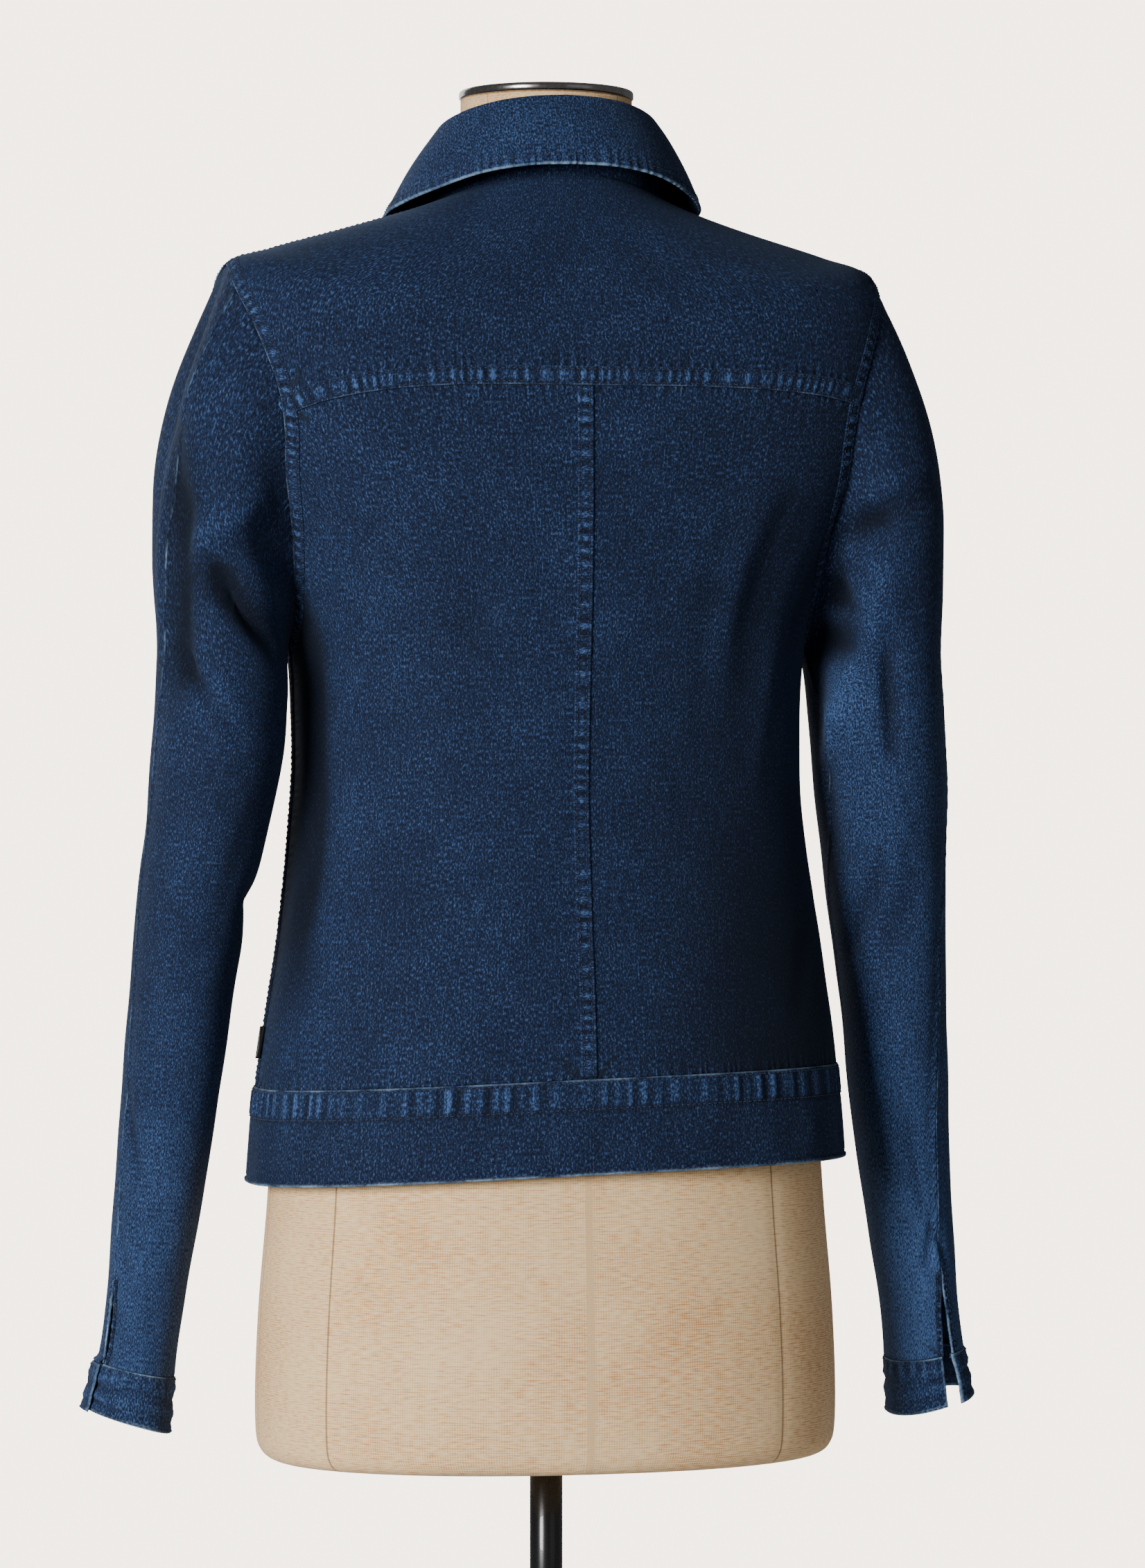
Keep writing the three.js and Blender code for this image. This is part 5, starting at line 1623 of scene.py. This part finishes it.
@dataclass
class Fastenings:
    """The six front buttons and the bare tab in the left side seam."""

    metal: bpy.types.Material
    satin: bpy.types.Material
    # Radius and height of a shank button: shank, back, rolled rim, groove, dished face with a centre boss.
    profile = (
        (0, 0), (4.0, 0), (4.2, 0.3), (4.2, 1.0), (7.6, 1.2), (8.2, 1.5), (8.45, 2.0), (8.4, 2.5),
        (8.1, 2.95), (7.6, 3.2), (7.1, 3.2), (6.7, 2.95), (6.4, 2.6), (5.9, 2.5), (4.0, 2.62), (2.6, 2.72),
        (1.9, 2.9), (1.2, 3.05), (0, 3.08),
    )

    def button(self, node: str, point: Array, normal: Array) -> None:
        """One button that stands for its node, 0.35 mm clear of the cloth."""
        made = turned(f"{node}_metal", self.profile, point + 0.35 * normal, normal, 40, self.metal)
        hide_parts(node)

    def build(self) -> None:
        """Place every button on the cloth that carries it, and weave the tab."""
        for i, row in enumerate((15, 12, 9, 6.4, 3.7, 0.5)):
            a, v = np.array([180.0]), np.array([float(row)])
            p, n, _ = BODY_SKIN.place(a, v)
            p[0, 0] = 0.0
            out = 2.3 if i < 5 else 0.9 + 2.9
            self.button(f"front_button_{i + 1}", p[0] + n[0] * (out + 0.1), n[0])
        self.tab()

    def tab(self) -> None:
        """A folded ribbon that stands out of the side seam, ribbed along its weave."""
        low, high = (BODY_SKIN.place(np.array([90.0]), np.array([v]))[0][0] for v in (1.32, 1.68))
        u, v = np.meshgrid(np.linspace(0, 1, 14), np.linspace(0, 1, 50))
        x = mix(low[0], high[0], v) + 0.4 + 3.0 * u + 0.12 * np.sin(2 * np.pi * v * 22) * (u > 0.05)
        y = 0.2 + 0.25 * np.sin(np.pi * u) * np.sin(5 * v)
        p = np.stack([x, y, mix(low[2], high[2], v)], -1)
        n = np.broadcast_to([0.0, 1.0, 0.0], p.shape)
        made = Cloth(p, n, np.zeros_like(u), outer=0.7, inner=-0.7).build("side_tab_satin", self.satin)
        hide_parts("side_tab")


# Sections of the dress form, with the same columns as the jacket's body.
FORM = np.array([
    [330, 330, 330, 150, 98, 95, 2.2],
    [331.5, 331.5, 331.5, 159.5, 106, 103, 2.2],
    [336, 336, 336, 165.2, 111, 108, 2.2],
    [346, 346, 346, 168, 113.5, 110, 2.2],
    [375, 375, 375, 168.4, 114, 109, 2.2],
    [420, 420, 420, 166.4, 112.5, 106, 2.2],
    [470, 470, 470, 162.2, 109, 101, 2.2],
    [520, 520, 520, 158.5, 106, 97, 2.2],
    [590, 590, 590, 151, 100, 90, 2.2],
    [650, 650, 650, 143.5, 93, 86, 2.2],
    [705, 705, 705, 138.5, 87, 84, 2.2],
    [755, 755, 755, 139, 90, 95, 2.2],
    [801, 801, 801, 142, 96, 108, 2.3],
    [838, 836, 838, 147, 100, 113, 2.35],
    [870, 866, 870, 151.5, 102, 111, 2.4],
    [904, 900, 898, 158.5, 102.8, 103.5, 2.5],
    [940, 931, 924, 168, 102, 92.5, 2.6],
    [975, 958, 946, 175, 99, 81.5, 2.6],
    [1002, 981, 964, 178.5, 94, 74, 2.6],
    [1013.5, 992, 972, 172, 90.8, 72, 2.55],
    [1020.4, 1003, 979, 159, 87.6, 70, 2.5],
    [1032, 1024, 989, 119, 77.3, 66.8, 2.35],
    [1041.4, 1043.5, 996, 87, 67, 64.6, 2.15],
    [1048.5, 1058, 1003, 64.5, 58.4, 62.5, 2.05],
    [1056, 1066, 1018, 56, 53.4, 57.5, 2],
    [1068, 1077, 1042, 51, 50.8, 52, 2],
    [1088, 1091, 1078, 49.7, 49.7, 49.7, 2],
    [1111, 1111, 1111, 49.5, 49.5, 49.5, 2],
])


@dataclass
class DressForm:
    """The limbless form that the jacket rests on, its cap, its pole and its base plate."""

    linen: bpy.types.Material
    cap_metal: bpy.types.Material
    black: bpy.types.Material
    # Angles of the sewn seams round the form: two behind, two at the sides and two in front.
    seams: tuple[float, ...] = (54.0, 90.0, 127.5, 232.5, 270.0, 316.5)

    # Radius and height of the turned pieces, each from the axis back to the axis.
    cap = (
        (0, 0), (48.6, 0), (49.8, 0.3), (50.4, 1.0), (50.4, 3.6), (50.1, 4.4), (49.4, 4.9), (48, 5.1),
        (44, 5.2), (20, 5.5), (0, 5.6),
    )
    pole = (
        (0, 0), (9.2, 0), (9.4, 0.2), (9.4, 60), (9.4, 150), (9.4, 240), (9.4, 321.1),
        (9.2, 321.3), (0, 321.3),
    )
    plate = (
        (0, 0), (148.4, 0), (149.6, 0.4), (150, 1.2), (150, 6.2), (149.6, 7.2), (148.6, 7.8), (147, 8),
        (60, 8), (14, 8), (0, 8),
    )

    def torso(self) -> None:
        """The linen torso, with a shallow groove 1.6 mm wide at each sewn seam."""
        around, levels = 240, 104
        angle = np.arange(around) * 360 / around
        row = np.concatenate([np.linspace(0, 3, 16), np.linspace(3, len(FORM) - 1, levels)[1:]])
        a2, r2 = np.meshgrid(angle, row)
        p = ring(FORM, a2, r2)
        off = np.min([np.abs((a2 - s + 180) % 360 - 180) for s in self.seams], axis=0) * 2.5
        groove = 0.45 * bell(off, 0, 1.3) * ease(0, 3, r2) * (1 - ease(23, 25, r2))
        p = p - unit(p * LEVEL) * groove[..., None]
        ends = np.array([[0, 0, FORM[0, 0]], [0, 0, FORM[-1, 0]]])
        uv = np.stack([np.radians(a2) * 150, p[..., 2]], -1).reshape(-1, 2)
        # Both poles count as 50 mm away from any seam.
        far = np.concatenate([off.ravel(), [50.0, 50.0]])
        made = make_piece(
            "form_torso_linen", np.concatenate([p.reshape(-1, 3), ends]), round_faces(*p.shape[:2]),
            self.linen, np.concatenate([uv, ends[:, 1:]]), {"seam_distance": far},
        )
        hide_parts("form_torso")

    def build(self) -> None:
        """Make the torso, the cap, the pole and the plate."""
        self.torso()
        for name, node, slot, profile, foot, sides, finish in (
            ("neck_cap_metal", "form_neck_cap", "cap", self.cap, 1111.3, 96, self.cap_metal),
            ("stand_pole_coated", "stand_pole", "stand", self.pole, 8.4, 48, self.black),
            ("stand_base_coated", "stand_base", "stand", self.plate, 0.0, 128, self.black),
        ):
            made = turned(name, profile, foot * UP, UP, sides, finish)
            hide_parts(node)


@dataclass
class Studio:
    """The pale floor, the soft lights and the camera."""

    distance: float = 3.2
    turn: float = 12.0
    eye_height: float = 0.717
    sideways: float = 0.0152
    frame_height: float = 0.9052
    background: str = "#fff1e3"

    def camera(self) -> None:
        """A level camera behind the jacket, turned towards the wearer's left."""
        phi = math.radians(self.turn)
        away = np.array([math.sin(phi), math.cos(phi), 0.0])
        right = np.array([-math.cos(phi), math.sin(phi), 0.0])
        data = bpy.data.cameras.new("camera")
        data.sensor_fit = "VERTICAL"
        data.sensor_height = 24.0
        data.lens = 24.0 * self.distance / self.frame_height
        data.clip_end = 50.0
        made = bpy.data.objects.new("camera", data)
        made.location = away * self.distance + right * self.sideways + np.array([0, 0, self.eye_height])
        made.rotation_euler = (math.radians(90), 0, math.radians(180 - self.turn))
        bpy.context.scene.collection.objects.link(made)
        bpy.context.scene.camera = made

    def lamp(self, name: str, place: tuple, size: float, power: float, aim=(0.0, 0.0, 0.75)) -> None:
        """A square soft light at a place in metres that looks at a point of the jacket."""
        data = bpy.data.lights.new(name, "AREA")
        data.size, data.energy = size, power
        made = bpy.data.objects.new(name, data)
        made.location = place
        direction = np.array(aim) - np.array(place)
        flat = math.hypot(direction[0], direction[1])
        turn = math.atan2(direction[1], direction[0]) - math.pi / 2
        made.rotation_euler = (math.atan2(flat, -direction[2]), 0, turn)
        bpy.context.scene.collection.objects.link(made)

    def build(self) -> None:
        """Set up the floor, the world and the lights."""
        self.camera()
        # Painted board: pale and matt, so that it only takes up soft shadows.
        board = PlainFinish("matt_studio_floor", "#e6e5e2", "#eae9e6", 0.9, grain_mm=60.0, relief_mm=0.01)
        disc = ((0, -12), (1180, -12), (1200, -8), (1200, -4), (1196, -1), (1188, 0), (0, 0))
        floor = turned("studio_floor", disc, np.zeros(3), UP, 128, board.build())
        self.lamp("key_light", (2.3, 2.25, 1.2), 1.1, 134.0)
        self.lamp("fill_light", (-2.0, 3.0, 1.4), 2.2, 3.0)
        self.lamp("front_fill", (0.6, -2.8, 1.6), 2.0, 22.0)
        world = bpy.data.worlds.new("studio")
        world.use_nodes = True
        tree = world.node_tree
        tree.nodes.clear()
        path = add_node(tree, "ShaderNodeLightPath")
        seen = add_node(tree, "ShaderNodeBackground", {"Color": srgb(self.background), "Strength": 5.0})
        light = add_node(tree, "ShaderNodeBackground", {"Color": srgb("#eef1f6"), "Strength": 0.16})
        both = add_node(tree, "ShaderNodeMixShader", {0: path.outputs["Is Camera Ray"], 1: light.outputs[0],
                                                      2: seen.outputs[0]})
        add_node(tree, "ShaderNodeOutputWorld", {"Surface": both.outputs[0]})
        bpy.context.scene.world = world


class Hold(Enum):
    """How a piece of cloth is held in its shape."""

    DRAPED = "draped"
    HUNG = "hung"


@dataclass(frozen=True)
class Cut:
    """The flat cut of what shows of one piece: width, length and area, and how the piece is held."""

    width_mm: float
    length_mm: float
    area_cm2: float
    hold: Hold
    rests_on: tuple[str, ...]

    def declare(self, piece: bpy.types.Object, trims: Sequence[bpy.types.Object]) -> None:
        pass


CUTS = {
    "back_left": Cut(231, 408, 771, Hold.HUNG, ("back_yoke_denim",)),
    "back_right": Cut(231, 405, 761, Hold.HUNG, ("back_yoke_denim",)),
    "back_yoke": Cut(473, 259, 566, Hold.DRAPED, ("form_torso_linen",)),
    "front_left": Cut(217, 651, 946, Hold.DRAPED, ("form_torso_linen",)),
    "front_right": Cut(217, 638, 931, Hold.DRAPED, ("form_torso_linen",)),
    "front_band_under": Cut(31, 466, 139, Hold.HUNG, ("front_left_denim",)),
    "front_band_over": Cut(31, 466, 139, Hold.HUNG, ("front_right_denim",)),
    "waistband_back": Cut(474, 55, 252, Hold.HUNG, ("back_left_denim", "back_right_denim")),
    "waistband_front_left": Cut(252, 55, 134, Hold.HUNG, ("front_left_denim",)),
    "waistband_front_right": Cut(251, 55, 134, Hold.HUNG, ("front_right_denim",)),
    "sleeve_under_left": Cut(234, 623, 704, Hold.HUNG, ("back_left_denim", "front_left_denim")),
    "sleeve_upper_left": Cut(314, 636, 807, Hold.HUNG, ("back_yoke_denim", "front_left_denim")),
    "sleeve_under_right": Cut(251, 632, 573, Hold.HUNG, ("back_right_denim", "front_right_denim")),
    "sleeve_upper_right": Cut(296, 636, 939, Hold.HUNG, ("back_yoke_denim", "front_right_denim")),
    "cuff_left": Cut(212, 33, 62, Hold.HUNG, ("sleeve_under_left_denim", "sleeve_upper_left_denim")),
    "cuff_right": Cut(197, 33, 58, Hold.HUNG, ("sleeve_under_right_denim", "sleeve_upper_right_denim")),
    "collar_leaf": Cut(558, 74, 281, Hold.HUNG, ("collar_stand_denim",)),
    "collar_stand": Cut(433, 46, 156, Hold.HUNG, ("back_yoke_denim",)),
}


def main() -> None:
    """Build the studio, the dress form and the jacket, and report each piece."""
    Studio().build()
    denim, thread = Denim().build(), THREAD.build()
    DressForm(Linen().build(), CAP_METAL.build(), POLE.build()).build()
    body, waist, collar = JacketBody(denim), Waistband(denim), Collar(denim)
    sleeves = [Sleeve(denim, skin) for skin in (LEFT_SLEEVE, RIGHT_SLEEVE)]
    for part in (body, waist, *sleeves, collar):
        part.build()
    Fastenings(BUTTON_METAL.build(), SATIN.build()).build()
    pieces, trims = {}, {}
    for part in (body, waist, collar, *sleeves):
        pieces |= part.pieces
        trims |= part.trims
        stitches = stitch_thread(f"{part.stitched_to}_stitches", part.lines, thread)
        trims.setdefault(part.stitched_to, []).append(stitches)
    for name, cut in CUTS.items():
        cut.declare(pieces[name], trims.get(name, []))
    log.info("%d cloth pieces declared", len(CUTS))


if __name__ == "__main__":
    logging.basicConfig(level=logging.INFO, format="%(name)s: %(message)s")
    main()
